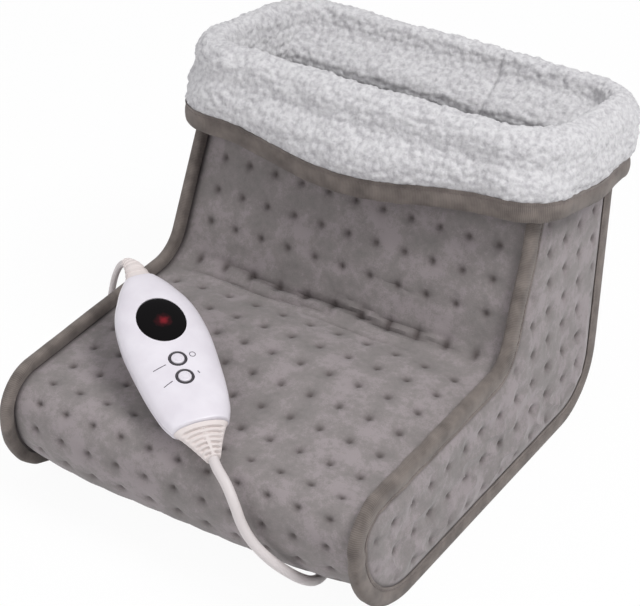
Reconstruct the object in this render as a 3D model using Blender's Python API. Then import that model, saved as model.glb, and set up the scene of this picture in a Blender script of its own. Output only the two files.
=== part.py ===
"""Electric foot warmer: a quilted boot for both feet, with a sherpa cuff and a hand controller.

Metres, +Z up. X is the boot's width, its toe points to -Y, and the origin is on the floor at the
middle of the footprint. Its outline and routes are written from the toe (y) and the floor (z).
"""

import math

import bmesh
import bpy
import numpy as np
from mathutils import Euler, Matrix, Vector, geometry

# Clearances and small common sizes
GAP = 0.0003
OVERRUN = 0.004
TAPE_T = 0.0008

# Side outline of the boot: the outer edge of its bound seams
WIDTH = 0.280
SIDE_SLOPE = 0.0406
TOE_TOP_Z = 0.0955
TOE_TOP_RADIUS = 0.031
TOE_SOLE_RADIUS = 0.063
INSTEP_Y = 0.1877
INSTEP_Z = 0.0990
INSTEP_RADIUS = 0.023
HEEL_Y = 0.314
HEEL_RADIUS = 0.052
FRONT_SLOPE = 0.423
BACK_SLOPE = 0.160
SHAFT_FRONT_Z = 0.2085
SHAFT_BACK_Z = 0.1960
ARC_STEP_DEG = 11.0
FINE_STEP_DEG = 2.0

# Bound seam: the side panel's edge and the strip's turned-out allowance inside a folded tape
EDGE_T = 0.003
ALLOWANCE_T = 0.0015
SEAM_INSET = 0.010
TAPE_OUTER_LEG = 0.0135
TAPE_INNER_LEG = 0.0080
TAPE_CHAMFER = 0.0010
ALLOWANCE_INSET = 0.0020
FOLD_BACK_RISE = 0.0012

# Quilted panels
PAD_T = 0.0065
DIMPLE_PITCH = 0.0221
DIMPLE_ROW_PITCH = 0.0232
DIMPLE_DEPTH = 0.0026
RIDGE_DEPTH = 0.0008
FRONT_ROW_PHASE = 0.0
BACK_ROW_PHASE = 0.010
CROWN_POWER = 5.0
ROUND_SHARE = 0.12
SIDE_CROWN = 0.0030
SIDE_CROWN_WIDTH = 0.012
BACK_CROWN_INSET = 0.0045
SOLE_CROWN_INSET = 0.0085
SOLE_COLUMN_SHARES = (-1.0, -0.93, -0.5, 0.0, 0.5, 0.93, 1.0)
SOLE_ROWS = 6

# Depth of the front strip's middle inside its bound edges: shares of its length and of the seam's
# inset. It is drawn in at the ankle, proud on the instep, low at the toe and hollow under it.
FRONT_CROWN_SHARES = (
    (0.0, 0.40), (0.19, 0.30), (0.25, 0.45), (0.279, 0.90), (0.309, 0.40), (0.357, -0.10),
    (0.416, -0.35), (0.476, -0.25), (0.516, 0.07), (0.583, 0.40), (0.647, 0.70), (0.690, 0.55),
    (0.762, 0.30), (0.856, 0.32), (0.906, 0.38), (0.956, 0.85), (1.0, 0.85),
)
CROWN_BLUR_SHARE = 0.012

# Lining and heater layers, from the outside in
LINING_T = 0.0045
FOAM_T = 0.0080
HEATING_PAD_T = 0.0020
HEATER_LAYER = 0.0032
SOLE_LINING_T = 0.0050
LINING_FRONT_DROP = 0.0080
LINING_BACK_DROP = 0.0165
WIRE_D = 0.0022
WIRE_RUNS = 9
WIRE_FRONT_Y = 0.094
WIRE_BACK_Y = 0.230
WIRE_TURN_POINTS = 6
WIRE_TAIL = 0.0200
INNER_LEAD_LENGTH = 0.0180
WIRE_LEAD_RADIUS = 0.008
CUTOUT_SIZE = (0.007, 0.016, 0.0026)
CUTOUT_RUNS = (1.5, 5.5)
CUTOUT_Y = 0.150

# Cuff: a sherpa collar folded over the shaft's top
HEM_Z = 0.1862
HEM_CLEARANCE = 0.0046
HEM_T = 0.0090
HEM_CORNER = 0.0120
HEM_OUTER_CORNER = 0.0240
HEM_BOW = 0.0120
HEM_INNER_BOW = 0.0080
HEM_SAG = 0.0095
SAG_SKEW = 0.35
MIDDLE_BOW = 0.0100
MIDDLE_SAG = 0.0050
RIM_BOW = 0.0035
BOW_SHARES = (0.4, 0.2, 1.0, 0.2)
HEM_SLOPE = -0.13
TAPE_HEIGHT = 0.0140
TAPE_INNER_HEIGHT = 0.0070
CUFF_OVERHANG = 0.0020
CUFF_BULGE = 0.0160
RIM_HALF_X = 0.1317
RIM_FRONT_Y = 0.2344
RIM_BACK_Y = 0.3567
RIM_Z = 0.2290
RIM_SLOPE = -0.15
RIM_CORNER = 0.030
ROLL_RADIUS = 0.0178
ROLL_ANGLES_DEG = (-22.0, 12.0, 45.0, 75.0, 105.0, 140.0, 175.0)
INNER_LEG_Z = 0.1970
SLOT_TOP_RISE = 0.0040
CORNER_POINTS = 6
BOW_POINTS = 7

# Hand controller, in its own frame: +x from the display end to the cord end, +z out of its face
CONTROLLER_LENGTH = 0.1330
CONTROLLER_WIDTH = 0.0590
CONTROLLER_CROWN = 0.0125
CONTROLLER_BELLY = 0.0118
CONTROLLER_WALL = 0.0022
CONTROLLER_PLACE = (-0.0427, 0.0630, 0.1145)
CONTROLLER_HEADING_DEG = -37.0
CONTROLLER_TILT_DEG = 14.0
STATION_SHARES = (-1.0, -0.93, -0.85, -0.74, -0.60, -0.45, -0.27, -0.08, 0.12, 0.34, 0.54, 0.72, 0.87, 1.0)
HALF_WIDTH_SHARES = (0.36, 0.47, 0.58, 0.70, 0.84, 0.93, 0.98, 1.0, 0.98, 0.94, 0.895, 0.83, 0.755, 0.63)
CROWN_SHARES = (0.56, 0.65, 0.73, 0.82, 0.91, 0.96, 0.99, 1.0, 0.99, 0.97, 0.94, 0.90, 0.85, 0.74)
BELLY_SHARES = (0.60, 0.68, 0.77, 0.86, 0.95, 1.0, 1.03, 1.02, 0.99, 0.95, 0.90, 0.85, 0.79, 0.68)
SECTION_POWER = 2.5
SECTION_POINTS = 11
ROOF_DROP = 0.0006
DISPLAY_X = -0.0190
DISPLAY_RADIUS = 0.0157
DISPLAY_STRETCH = 1.24
WINDOW_T = 0.0018
WINDOW_DOME = 0.0011
WINDOW_DOME_SHARES = ((1.0, 0.0), (0.92, 0.30), (0.74, 0.65), (0.42, 0.92), (0.14, 1.0))
MODULE_RADIUS = 0.0135
MODULE_TOP_RADIUS = 0.0110
MODULE_CHAMFER = 0.0015
BUTTON_POWER_X = 0.0165
BUTTON_LEVEL_X = 0.0318
BUTTON_RADIUS = 0.0043
BUTTON_FLANGE_RADIUS = 0.0056
BUTTON_FLANGE_T = 0.0010
BUTTON_STEM_RADIUS = 0.0022
BUTTON_PROUD = 0.0010
BUTTON_EDGE = 0.0005
BUTTON_TRAVEL = 0.0008
BEZEL_RADIUS = 0.0059
BEZEL_FLANGE_RADIUS = 0.0071
BEZEL_FLANGE_T = 0.0009
BEZEL_PROUD = 0.0003
BOARD_TOP_Z = -0.0008
BOARD_T = 0.0012
BOARD_INSET = 0.0060
BOARD_END_SHARE = 0.60
SWITCH_SIDE = 0.0062
SWITCH_HEIGHT = 0.0041
SWITCH_BORE_RADIUS = 0.0018
SWITCH_FLOOR = 0.0011
PLUNGER_RADIUS = 0.0015
SCREW_PLACES_SHARE = ((-0.76, 0.0), (0.76, 0.38), (0.76, -0.38))
SCREW_HEAD_RADIUS = 0.0026
SCREW_HEAD_T = 0.0016
SCREW_SHANK_RADIUS = 0.0011
SCREW_HOLE_RADIUS = 0.0015
SCREW_BOSS_RADIUS = 0.0042
SCREW_REACH = 0.0050
POST_RADIUS = 0.0022
POST_PLACES_SHARE = ((-0.42, 0.55), (-0.42, -0.55), (0.45, 0.5), (0.45, -0.5))

# Strain reliefs on the controller: a neck through the shell's wall with a head inside it
HEATER_CORD_D = 0.0046
MAINS_CORD_D = 0.0068
LOWER_NECK_RADIUS = 0.0039
LOWER_HEAD_RADIUS = 0.0046
LOWER_RELIEF_LENGTH = 0.0250
LOWER_RELIEF_ROOT = (0.0178, 0.0076)
LOWER_RELIEF_TIP = 0.0048
LOWER_RELIEF_RIBS = 6
UPPER_NECK_RADIUS = 0.0030
UPPER_HEAD_RADIUS = 0.0040
UPPER_RELIEF_LENGTH = 0.0280
UPPER_RELIEF_ROOT = (0.0098, 0.0055)
UPPER_RELIEF_TIP = 0.0034
UPPER_RELIEF_RIBS = 6
UPPER_RELIEF_STRAIGHT = 0.0060
UPPER_RELIEF_SEAT = 0.0006
RIB_DEPTH = 0.0008
RIBLESS_SHARE = 0.10
RELIEF_SIDES = 16

# Cord outlet on the left side panel: an oval plate with a sleeve along the panel
OUTLET_Y = 0.252
OUTLET_Z = 0.0289
OUTLET_PLATE_T = 0.0028
OUTLET_PLATE_HALF = (0.0170, 0.0092)
OUTLET_SLEEVE_LENGTH = 0.030
OUTLET_SLEEVE_RADIUS = 0.0047
OUTLET_SLEEVE_TIP = 0.0036
OUTLET_SHANK_RADIUS = 0.0045
INNER_LEAD_D = 0.0026

# Cords beyond the reliefs: routes through points chosen by hand, from the toe and the floor
CORD_STEP_DIAMETERS = 2.4
HEATER_END_RUN = 0.0092
HEATER_ROUTE = (
    (-0.1050, 0.1095, 0.1335), (-0.1160, 0.1165, 0.1300), (-0.1262, 0.1228, 0.1215),
    (-0.1350, 0.1280, 0.1085), (-0.1420, 0.1322, 0.0930), (-0.1475, 0.1345, 0.0740),
    (-0.1510, 0.1348, 0.0500),
    (-0.1550, 0.1310, 0.0250), (-0.1610, 0.1200, 0.0080), (-0.1700, 0.1090, 0.0024),
    (-0.1830, 0.1080, 0.0024), (-0.1910, 0.1200, 0.0024), (-0.1900, 0.1380, 0.0024),
    (-0.1830, 0.1560, 0.0030), (-0.1720, 0.1740, 0.0080), (-0.1590, 0.1900, 0.0180),
    (-0.1505, 0.2030, 0.0260),
)
MAINS_ROUTE = (
    (0.0450, -0.0008, 0.0862), (0.0535, -0.0048, 0.0770), (0.0592, -0.0060, 0.0655),
    (0.0665, -0.0056, 0.0545), (0.0770, -0.0032, 0.0440), (0.0862, 0.0040, 0.0325),
    (0.0905, 0.0150, 0.0207), (0.0905, 0.0285, 0.0105), (0.0880, 0.0430, 0.0050),
    (0.0830, 0.0590, 0.0036), (0.0740, 0.0880, 0.0036), (0.0600, 0.1300, 0.0036),
    (0.0460, 0.1800, 0.0036), (0.0350, 0.2350, 0.0036), (0.0300, 0.2900, 0.0036),
    (0.0289, 0.3500, 0.0040), (0.0289, 0.4000, 0.0052),
)
COIL_TURNS_PER_LAYER = 3
COIL_INNER_RADIUS = 0.0265
COIL_PITCH = 0.0075
COIL_LIFT = 0.0074
COIL_POINTS = 24
COIL_CENTRE = (-0.0200, 0.4550)
COIL_Z = 0.0054
COIL_EXIT_DEG = 90.0
COIL_REVERSAL_SHARE = 0.12
COIL_CLIMB_TURNS = 0.5
COIL_EXIT_SHARES = ((0.30, 0.0), (0.60, 0.30), (0.80, 0.75), (1.0, 1.0))
COIL_EXIT_LENGTH = 0.046
TIE_PLACE_DEG = 215.0
TIE_WIDTH = 0.009
TIE_T = 0.0012
TIE_SLACK = 0.0010

# Two-pin plug, lying behind the boot with its pins towards -X
PLUG_LENGTH = 0.0355
PLUG_HALF_WIDTH = 0.0130
PLUG_HALF_HEIGHT = 0.0069
PLUG_SHARES = ((0.0, 0.48, 0.80), (0.16, 0.60, 0.92), (0.42, 0.84, 1.0), (0.62, 1.0, 1.0), (1.0, 1.0, 1.0))
PLUG_CORNER_POWER = 4.0
PLUG_SIDES = 20
PLUG_AXIS_Z = 0.0072
PLUG_NECK_RADIUS = 0.0036
PLUG_NECK_LENGTH = 0.0060
PLUG_RELIEF_LENGTH = 0.0240
PLUG_RELIEF_ROOT = (0.0056, 0.0052)
PLUG_RELIEF_TIP = 0.0044
PLUG_RELIEF_RIBS = 5
PIN_RADIUS = 0.0020
PIN_LENGTH = 0.0190
PIN_SPREAD = 0.0186
PIN_ROOT = 0.0080

HALF_WIDTH = WIDTH / 2
SEAM_X = HALF_WIDTH - TAPE_T - GAP - EDGE_T
MIDDLE_Y = (RIM_BACK_Y + ROLL_RADIUS * math.cos(math.radians(ROLL_ANGLES_DEG[1]))) / 2
PAD_INNER = SEAM_INSET + PAD_T
STACK = PAD_INNER + GAP
SIDE_STEP = GAP + LINING_T + GAP


def clear_scene():
    for old in list(bpy.data.objects):
        bpy.data.objects.remove(old, do_unlink=True)


def material(name, colour, roughness, metallic=0.0):
    """A Principled material; the colour is linear red, green and blue."""
    made = bpy.data.materials.new(name)
    made.use_nodes = True
    shader = made.node_tree.nodes["Principled BSDF"]
    shader.inputs["Base Color"].default_value = (*colour, 1.0)
    shader.inputs["Roughness"].default_value = roughness
    shader.inputs["Metallic"].default_value = metallic
    made.diffuse_color = (*colour, 1.0)
    return made


def add_object(name, mesh, look, parent=None, smooth_deg=35.0):
    """Link a mesh as a named object, shaded smooth except at edges sharper than smooth_deg."""
    made = bpy.data.objects.new(name, mesh)
    bpy.context.collection.objects.link(made)
    mesh.materials.append(look)
    mesh.shade_smooth()
    mesh.set_sharp_from_angle(angle=math.radians(smooth_deg))
    made.parent = parent
    return made


def mesh_from(name, points, faces):
    """A mesh of the given faces, all turned to point outwards."""
    mesh = bpy.data.meshes.new(name)
    mesh.from_pydata([tuple(map(float, p)) for p in points], [], [tuple(map(int, f)) for f in faces])
    work = bmesh.new()
    work.from_mesh(mesh)
    bmesh.ops.recalc_face_normals(work, faces=work.faces)
    work.to_mesh(mesh)
    work.free()
    return mesh


def placed(points):
    """Points written from the toe, moved to the part's frame."""
    return np.asarray(points, float) - np.array((0.0, MIDDLE_Y, 0.0))


def loft_faces(rings, points, closed=False):
    """Quads between rings of equally many points; flat end faces unless the last joins the first."""
    faces = []
    for i in range(rings if closed else rings - 1):
        j = (i + 1) % rings
        for k in range(points):
            m = (k + 1) % points
            faces.append((i * points + k, i * points + m, j * points + m, j * points + k))
    if not closed:
        faces.append(tuple(range(points)))
        faces.append(tuple((rings - 1) * points + k for k in range(points)))
    return faces


def cut(target, tool, operation="DIFFERENCE"):
    """Cut target with tool, or join the two, and keep the tool out of the model."""
    step = target.modifiers.new(operation.lower(), "BOOLEAN")
    step.operation = operation
    step.solver = "EXACT"
    step.object = tool
    tool.hide_render = True
    tool.display_type = "WIRE"


def front_y(z):
    """The y of the shaft's front edge at height z."""
    return INSTEP_Y + FRONT_SLOPE * (z - INSTEP_Z)


def back_y(z):
    """The y of the shaft's back edge at height z."""
    return HEEL_Y + BACK_SLOPE * z


def seam_x(z):
    """Half the distance between the side panels' inner faces at height z."""
    return SEAM_X - SIDE_SLOPE * z


class Outline:
    """The boot's side outline from the shaft's front top round the sole to its back top."""

    def __init__(self, step_deg):
        corners = (
            (front_y(SHAFT_FRONT_Z), SHAFT_FRONT_Z, 0.0),
            (INSTEP_Y, INSTEP_Z, INSTEP_RADIUS),
            (0.0, TOE_TOP_Z, TOE_TOP_RADIUS),
            (0.0, 0.0, TOE_SOLE_RADIUS),
            (HEEL_Y, 0.0, HEEL_RADIUS),
            (back_y(SHAFT_BACK_Z), SHAFT_BACK_Z, 0.0),
        )
        points = [np.array(corners[0][:2])]
        self.arcs = []
        for before, here, after in zip(corners[:-2], corners[1:-1], corners[2:]):
            corner = np.array(here[:2])
            back = np.array(before[:2]) - corner
            ahead = np.array(after[:2]) - corner
            back /= np.linalg.norm(back)
            ahead /= np.linalg.norm(ahead)
            half = math.acos(float(back @ ahead)) / 2
            centre = corner + (back + ahead) / np.linalg.norm(back + ahead) * here[2] / math.sin(half)
            first = corner + back * here[2] / math.tan(half) - centre
            last = corner + ahead * here[2] / math.tan(half) - centre
            start = math.atan2(first[1], first[0])
            turn = math.remainder(math.atan2(last[1], last[0]) - start, math.tau)
            steps = math.ceil(abs(math.degrees(turn)) / step_deg)
            angles = start + turn * np.linspace(0.0, 1.0, steps + 1)
            self.arcs.append((len(points), len(points) + steps))
            points += list(centre + here[2] * np.column_stack((np.cos(angles), np.sin(angles))))
        points.append(np.array(corners[-1][:2]))
        self.points = np.array(points)
        runs = np.diff(self.points, axis=0)
        lengths = np.linalg.norm(runs, axis=1)
        self.along = np.concatenate(((0.0,), np.cumsum(lengths)))
        runs /= lengths[:, None]
        tangents = np.vstack((runs[:1], runs[:-1] + runs[1:], runs[-1:]))
        tangents /= np.linalg.norm(tangents, axis=1)[:, None]
        self.normals = np.column_stack((tangents[:, 1], -tangents[:, 0]))

    def arc_ends(self, which):
        """Distances along the outline of the start and end of bend number which."""
        first, last = self.arcs[which]
        return self.along[first], self.along[last]

    def at(self, along):
        """Points and outward normals at distances along the outline."""
        point = np.column_stack([np.interp(along, self.along, self.points[:, k]) for k in (0, 1)])
        normal = np.column_stack([np.interp(along, self.along, self.normals[:, k]) for k in (0, 1)])
        return point, normal / np.linalg.norm(normal, axis=1)[:, None]

    def inset(self, depth, front_z=None, back_z=None):
        """The outline's points moved inwards by depth, its two ends slid to the given heights."""
        points = self.points - depth * self.normals
        for end, near, height in ((0, 1, front_z), (-1, -2, back_z)):
            if height is not None:
                run = points[end] - points[near]
                points[end] = points[near] + run * (height - points[near][1]) / run[1]
        return points


def strip_mesh(name, outline, along, shares, offsets, insets):
    """A strip that follows the outline: each row is one closed ring of points across the boot.

    A point's x is its share of the half width left by its offset from the seam, and its inset is
    how deep it lies inside the outline.
    """
    base, normal = outline.at(along)
    y = base[:, 0:1] - insets * normal[:, 0:1]
    z = base[:, 1:2] - insets * normal[:, 1:2]
    x = shares[None, :] * (seam_x(z) - offsets[None, :])
    points = placed(np.stack((x, y, z), axis=-1).reshape(-1, 3))
    return mesh_from(name, points, loft_faces(len(along), len(shares)))


def seamed_strip(name, look, outline, along, columns, face):
    """A padded strip: its outer face at the given depths, with a seam allowance along each edge.

    columns are the face's column shares, and face is a depth for each row and column.
    """
    shares = np.concatenate(((-1.0,), columns, (1.0,) * 3, (-1.0,) * 2))
    offsets = np.full(len(shares), GAP)
    offsets[: len(columns) + 2] = GAP + ALLOWANCE_T
    top = np.full((len(along), 1), ALLOWANCE_INSET)
    back = np.full((len(along), 2), PAD_INNER)
    insets = np.hstack((top, face, top, top, back, top))
    return add_object(name, strip_mesh(name, outline, along, shares, offsets, insets), look)


def quilt_columns():
    """Column shares across a quilted strip, two to a dimple, and which columns hold dimples."""
    half = seam_x(TOE_TOP_Z) - GAP - ALLOWANCE_T
    pitch = DIMPLE_PITCH / 2
    count = 2 * int((half - pitch) / DIMPLE_PITCH)
    inner = np.arange(-count, count + 1)
    margin = (1.0 + count * pitch / half) / 2
    columns = np.concatenate(((-1.0, -margin), inner * pitch / half, (margin, 1.0)))
    parity = np.concatenate(((-1, -1), inner % 2, (-1, -1)))
    return columns, parity


def quilt_rows(start, end, phase):
    """Distances of a quilted strip's rows, two to a dimple, and which rows hold dimples."""
    half = DIMPLE_ROW_PITCH / 2
    first = math.ceil((start + half / 2 - phase) / half)
    last = math.floor((end - half / 2 - phase) / half)
    inner = np.arange(first, last + 1)
    along = np.concatenate(((start,), phase + inner * half, (end,)))
    return along, np.concatenate(((-1,), inner % 2, (-1,)))


def crown_shares(columns):
    """How far a strip's crown rises at column shares: full over most of it, down at its seams."""
    return 1.0 - ROUND_SHARE * columns**2 - (1.0 - ROUND_SHARE) * np.abs(columns) ** CROWN_POWER


def quilted_strip(name, look, outline, start, end, phase, middle):
    """A quilted strip: crowned between its seams, with a dimple at every other row and column.

    Its rows are returned, so that its lining can follow the same bends.
    """
    columns, column_parity = quilt_columns()
    along, row_parity = quilt_rows(start, end, phase)
    crown = crown_shares(columns)
    depth = middle((along - start) / (end - start))
    face = SEAM_INSET - (SEAM_INSET - depth[:, None]) * crown[None, :]
    across, down = np.meshgrid(column_parity, row_parity)
    face += DIMPLE_DEPTH * ((across == 0) & (down == 0))
    face += RIDGE_DEPTH * ((across + down == 1) & (across >= 0) & (down >= 0))
    seamed_strip(name, look, outline, along, columns, face)
    return along


def plain_strip(name, look, outline, along, outer, thickness):
    """A smooth strip of even thickness whose outer face lies at the depth outer."""
    shares = np.array((-1.0, 1.0, 1.0, -1.0))
    depth = np.array((outer, outer, outer + thickness, outer + thickness))
    insets = np.tile(depth, (len(along), 1))
    return add_object(name, strip_mesh(name, outline, along, shares, np.full(4, SIDE_STEP), insets), look)


def trimmed(along, start, end):
    """A strip's rows between two distances, with a row at each."""
    kept = along[(along > start + OVERRUN) & (along < end - OVERRUN)]
    return np.concatenate(((start,), kept, (end,)))


def front_crown(share):
    """Depth of the front strip's middle at shares of its length, smoothed over a short window."""
    table = np.array(FRONT_CROWN_SHARES)
    window = np.linspace(-CROWN_BLUR_SHARE, CROWN_BLUR_SHARE, 7)
    read = [np.interp(share + shift, table[:, 0], table[:, 1]) for shift in window]
    return SEAM_INSET * np.mean(read, axis=0)


def inside(spot, polygon):
    """Whether a point lies inside a closed polygon, by counting the edges to its right."""
    ahead = np.roll(polygon, -1, axis=0)
    crosses = (polygon[:, 1] > spot[1]) != (ahead[:, 1] > spot[1])
    rise = np.where(crosses, ahead[:, 1] - polygon[:, 1], 1.0)
    run = (ahead[:, 0] - polygon[:, 0]) * (spot[1] - polygon[:, 1])
    return int(np.sum(crosses & (spot[0] < polygon[:, 0] + run / rise))) % 2 == 1


def side_panel(name, look, side, outline, fine):
    """A boot-shaped quilted side: flat under its bound edge, then crowned and dimpled."""
    edge = outline.inset(TAPE_T + GAP)
    fold = outline.inset(TAPE_OUTER_LEG + 2 * GAP, None, SHAFT_BACK_Z + FOLD_BACK_RISE)
    pitch = DIMPLE_PITCH / 2
    spots = []
    depth = []
    for i in range(1, int(back_y(SHAFT_BACK_Z) / pitch) + 1):
        for j in range(1, int(SHAFT_FRONT_Z / pitch) + 1):
            spot = np.array((i * pitch, j * pitch))
            reach = np.min(np.linalg.norm(fine.points - spot, axis=1))
            if reach > TAPE_OUTER_LEG + pitch / 2 and inside(spot, fold):
                rise = min((reach - TAPE_OUTER_LEG) / SIDE_CROWN_WIDTH, 1.0)
                dimple = DIMPLE_DEPTH * (i % 2 == 0 and j % 2 == 0) + RIDGE_DEPTH * ((i + j) % 2)
                spots.append(spot)
                depth.append(EDGE_T + SIDE_CROWN * math.sin(rise * math.pi / 2) - dimple * rise)
    flat = [Vector(p) for p in np.vstack((edge, fold, spots))]
    ring = [(k, (k + 1) % len(edge)) for k in range(len(edge))]
    line = [(len(edge) + k, len(edge) + k + 1) for k in range(len(fold) - 1)]
    done = geometry.delaunay_2d_cdt(flat, ring + line, [], 1, GAP / 100)
    corner = [0] * len(edge)
    thick = np.full(len(done[0]), EDGE_T)
    for k, sources in enumerate(done[3]):
        for source in sources:
            if source < len(edge):
                corner[source] = k
            elif source >= len(edge) + len(fold):
                thick[k] = depth[source - len(edge) - len(fold)]
    plan = np.array([tuple(p) for p in done[0]])
    outer = np.column_stack((side * (seam_x(plan[:, 1]) + thick), plan))
    inner = np.column_stack((side * seam_x(edge[:, 1]), edge))
    faces = [tuple(face) for face in done[2]]
    count = len(outer)
    for k in range(len(edge)):
        m = (k + 1) % len(edge)
        faces.append((corner[k], corner[m], count + m, count + k))
    faces.append(tuple(count + k for k in range(len(edge))))
    return add_object(name, mesh_from(name, placed(np.vstack((outer, inner))), faces), look)


def edge_binding(name, look, side, outline):
    """Grosgrain tape folded over a side seam, all round from the shaft's front to its back."""
    hollow = EDGE_T + GAP
    outer = hollow + TAPE_T
    inner_face = -(GAP + ALLOWANCE_T + GAP)
    inner = inner_face - TAPE_T
    section = (
        (outer, TAPE_CHAMFER), (outer, TAPE_OUTER_LEG), (hollow, TAPE_OUTER_LEG), (hollow, TAPE_T),
        (inner_face, TAPE_T), (inner_face, TAPE_INNER_LEG), (inner, TAPE_INNER_LEG),
        (inner, TAPE_CHAMFER), (inner + TAPE_CHAMFER, 0.0), (outer - TAPE_CHAMFER, 0.0),
    )
    rings = []
    for point, normal in zip(outline.points, outline.normals):
        for reach, depth in section:
            y, z = point - depth * normal
            rings.append((side * (seam_x(z) + reach), y, z))
    faces = loft_faces(len(outline.points), len(section))
    return add_object(name, mesh_from(name, placed(rings), faces), look)


def leg_end(y):
    """Height of the cuff's inner leg's lower end at y."""
    return INNER_LEG_Z + tilt_at(INNER_LEG_Z) * (y - RIM_FRONT_Y)


def side_lining(name, look, side, outline):
    """Flat sherpa lining behind a side panel, inside the strips' pads."""
    front_top = leg_end(front_y(INNER_LEG_Z) + STACK) - GAP
    back_top = leg_end(back_y(INNER_LEG_Z) - STACK) - GAP
    edge = outline.inset(STACK + GAP, front_top, back_top)
    outer = np.column_stack((side * (seam_x(edge[:, 1]) - GAP), edge))
    inner = np.column_stack((side * (seam_x(edge[:, 1]) - GAP - LINING_T), edge))
    points = placed(np.vstack((outer, inner)))
    return add_object(name, mesh_from(name, points, loft_faces(2, len(edge))), look)


def tilt_at(z):
    """How the cuff's levels tilt towards the back, growing from its hem to its rim."""
    return HEM_SLOPE + (RIM_SLOPE - HEM_SLOPE) * (z - HEM_Z) / (RIM_Z - HEM_Z)


def back_level(z):
    """Height at the shaft's back of a tilted level whose height at the rim's front is z."""
    return z + tilt_at(z) * (back_y(z) - RIM_FRONT_Y)


def shaft_rectangle(z):
    """The cuff's inner plan round the shaft at level z: half width, front y and back y."""
    grown = HEM_CLEARANCE
    low = back_level(z)
    return np.array((HALF_WIDTH - SIDE_SLOPE * low + grown, front_y(z) - grown, back_y(low) + grown))


def lining_rectangle(z):
    """The lining's outer plan at level z: half width, front y and back y."""
    front = STACK * math.hypot(1.0, FRONT_SLOPE)
    back = STACK * math.hypot(1.0, BACK_SLOPE)
    return np.array((seam_x(z) - GAP, front_y(z) + front, back_y(back_level(z)) - back))


def plan_ring(rectangle, growth, corner, z, tilt, bow=0.0, sag=0.0):
    """A ring round a rectangle with rounded corners, grown outwards and tilted to the back.

    Each side bows outwards and sags by its share of bow and sag, as sin squared along it. A ring
    that sags also hangs lower on its left than on its right.
    """
    half, front, back = rectangle + growth * np.array((1.0, -1.0, 1.0))
    radius = max(corner + growth, GAP)
    arcs = []
    for x, y, turn in ((1, back, 0.0), (-1, back, 90.0), (-1, front, 180.0), (1, front, 270.0)):
        angles = np.radians(np.linspace(turn, turn + 90.0, CORNER_POINTS))
        centre = np.array((x * (half - radius), y - radius * (1 if y == back else -1)))
        arcs.append(centre + radius * np.column_stack((np.cos(angles), np.sin(angles))))
    points = []
    for number, share in enumerate(BOW_SHARES):
        start = arcs[number][-1]
        end = arcs[(number + 1) % len(arcs)][0]
        outward = np.array(((0.0, 1.0), (-1.0, 0.0), (0.0, -1.0), (1.0, 0.0))[number])
        t = np.arange(1, BOW_POINTS + 1)[:, None] / (BOW_POINTS + 1)
        swell = share * np.sin(math.pi * t) ** 2
        side = start + t * (end - start) + bow * swell * outward
        points.append(np.column_stack((arcs[number], np.zeros(CORNER_POINTS))))
        points.append(np.column_stack((side, -sag * swell)))
    ring = np.vstack(points)
    ring[:, 2] += z + tilt * (ring[:, 1] - RIM_FRONT_Y) + SAG_SKEW * sag * ring[:, 0] / half
    return ring


def swell_left(z):
    """Share of the hem's bow and sag that the cuff's inner face still has at level z."""
    return (SHAFT_FRONT_Z + SLOT_TOP_RISE - z) / (SHAFT_FRONT_Z + SLOT_TOP_RISE - HEM_Z)


def cuff(look):
    """The sherpa cuff: one ring of cloth, from its hem over the rolled rim and down the lining."""
    hem = shaft_rectangle(HEM_Z)
    rim = np.array((RIM_HALF_X, RIM_FRONT_Y, RIM_BACK_Y))
    fold_z = HEM_Z + TAPE_HEIGHT
    slot_z = SHAFT_FRONT_Z + SLOT_TOP_RISE
    inner_top = HEM_Z + TAPE_INNER_HEIGHT
    left = swell_left(inner_top)
    middle = ((hem + rim) / 2, CUFF_BULGE, (HEM_OUTER_CORNER + RIM_CORNER) / 2, (fold_z + RIM_Z) / 2)
    over = (hem, HEM_T + CUFF_OVERHANG, HEM_OUTER_CORNER, fold_z + CUFF_OVERHANG / 2)
    levels = [
        (hem, 0.0, HEM_CORNER, HEM_Z, HEM_INNER_BOW, HEM_SAG),
        (hem, HEM_T, HEM_OUTER_CORNER, HEM_Z, HEM_BOW, HEM_SAG),
        (hem, HEM_T, HEM_OUTER_CORNER, fold_z, HEM_BOW, HEM_SAG),
        (*over, HEM_BOW, HEM_SAG),
        (*middle, MIDDLE_BOW, MIDDLE_SAG),
    ]
    for angle in np.radians(ROLL_ANGLES_DEG):
        z = RIM_Z + ROLL_RADIUS * math.sin(angle)
        levels.append((rim, ROLL_RADIUS * math.cos(angle), RIM_CORNER, z, RIM_BOW, 0.0))
    levels += [
        (lining_rectangle(slot_z), -LINING_T, HEM_CORNER + LINING_T, slot_z, 0.0, 0.0),
        (lining_rectangle(INNER_LEG_Z), -LINING_T, HEM_CORNER + LINING_T, INNER_LEG_Z, 0.0, 0.0),
        (lining_rectangle(INNER_LEG_Z), 0.0, HEM_CORNER, INNER_LEG_Z, 0.0, 0.0),
        (lining_rectangle(slot_z), 0.0, HEM_CORNER, slot_z, 0.0, 0.0),
        (shaft_rectangle(slot_z), 0.0, HEM_CORNER, slot_z, 0.0, 0.0),
        (shaft_rectangle(inner_top), 0.0, HEM_CORNER, inner_top, left * HEM_INNER_BOW, left * HEM_SAG),
    ]
    rings = [plan_ring(*level[:4], tilt_at(level[3]), *level[4:]) for level in levels]
    faces = loft_faces(len(rings), len(rings[0]), closed=True)
    return add_object("cuff", mesh_from("cuff", placed(np.vstack(rings)), faces), look, smooth_deg=60.0)


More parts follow.
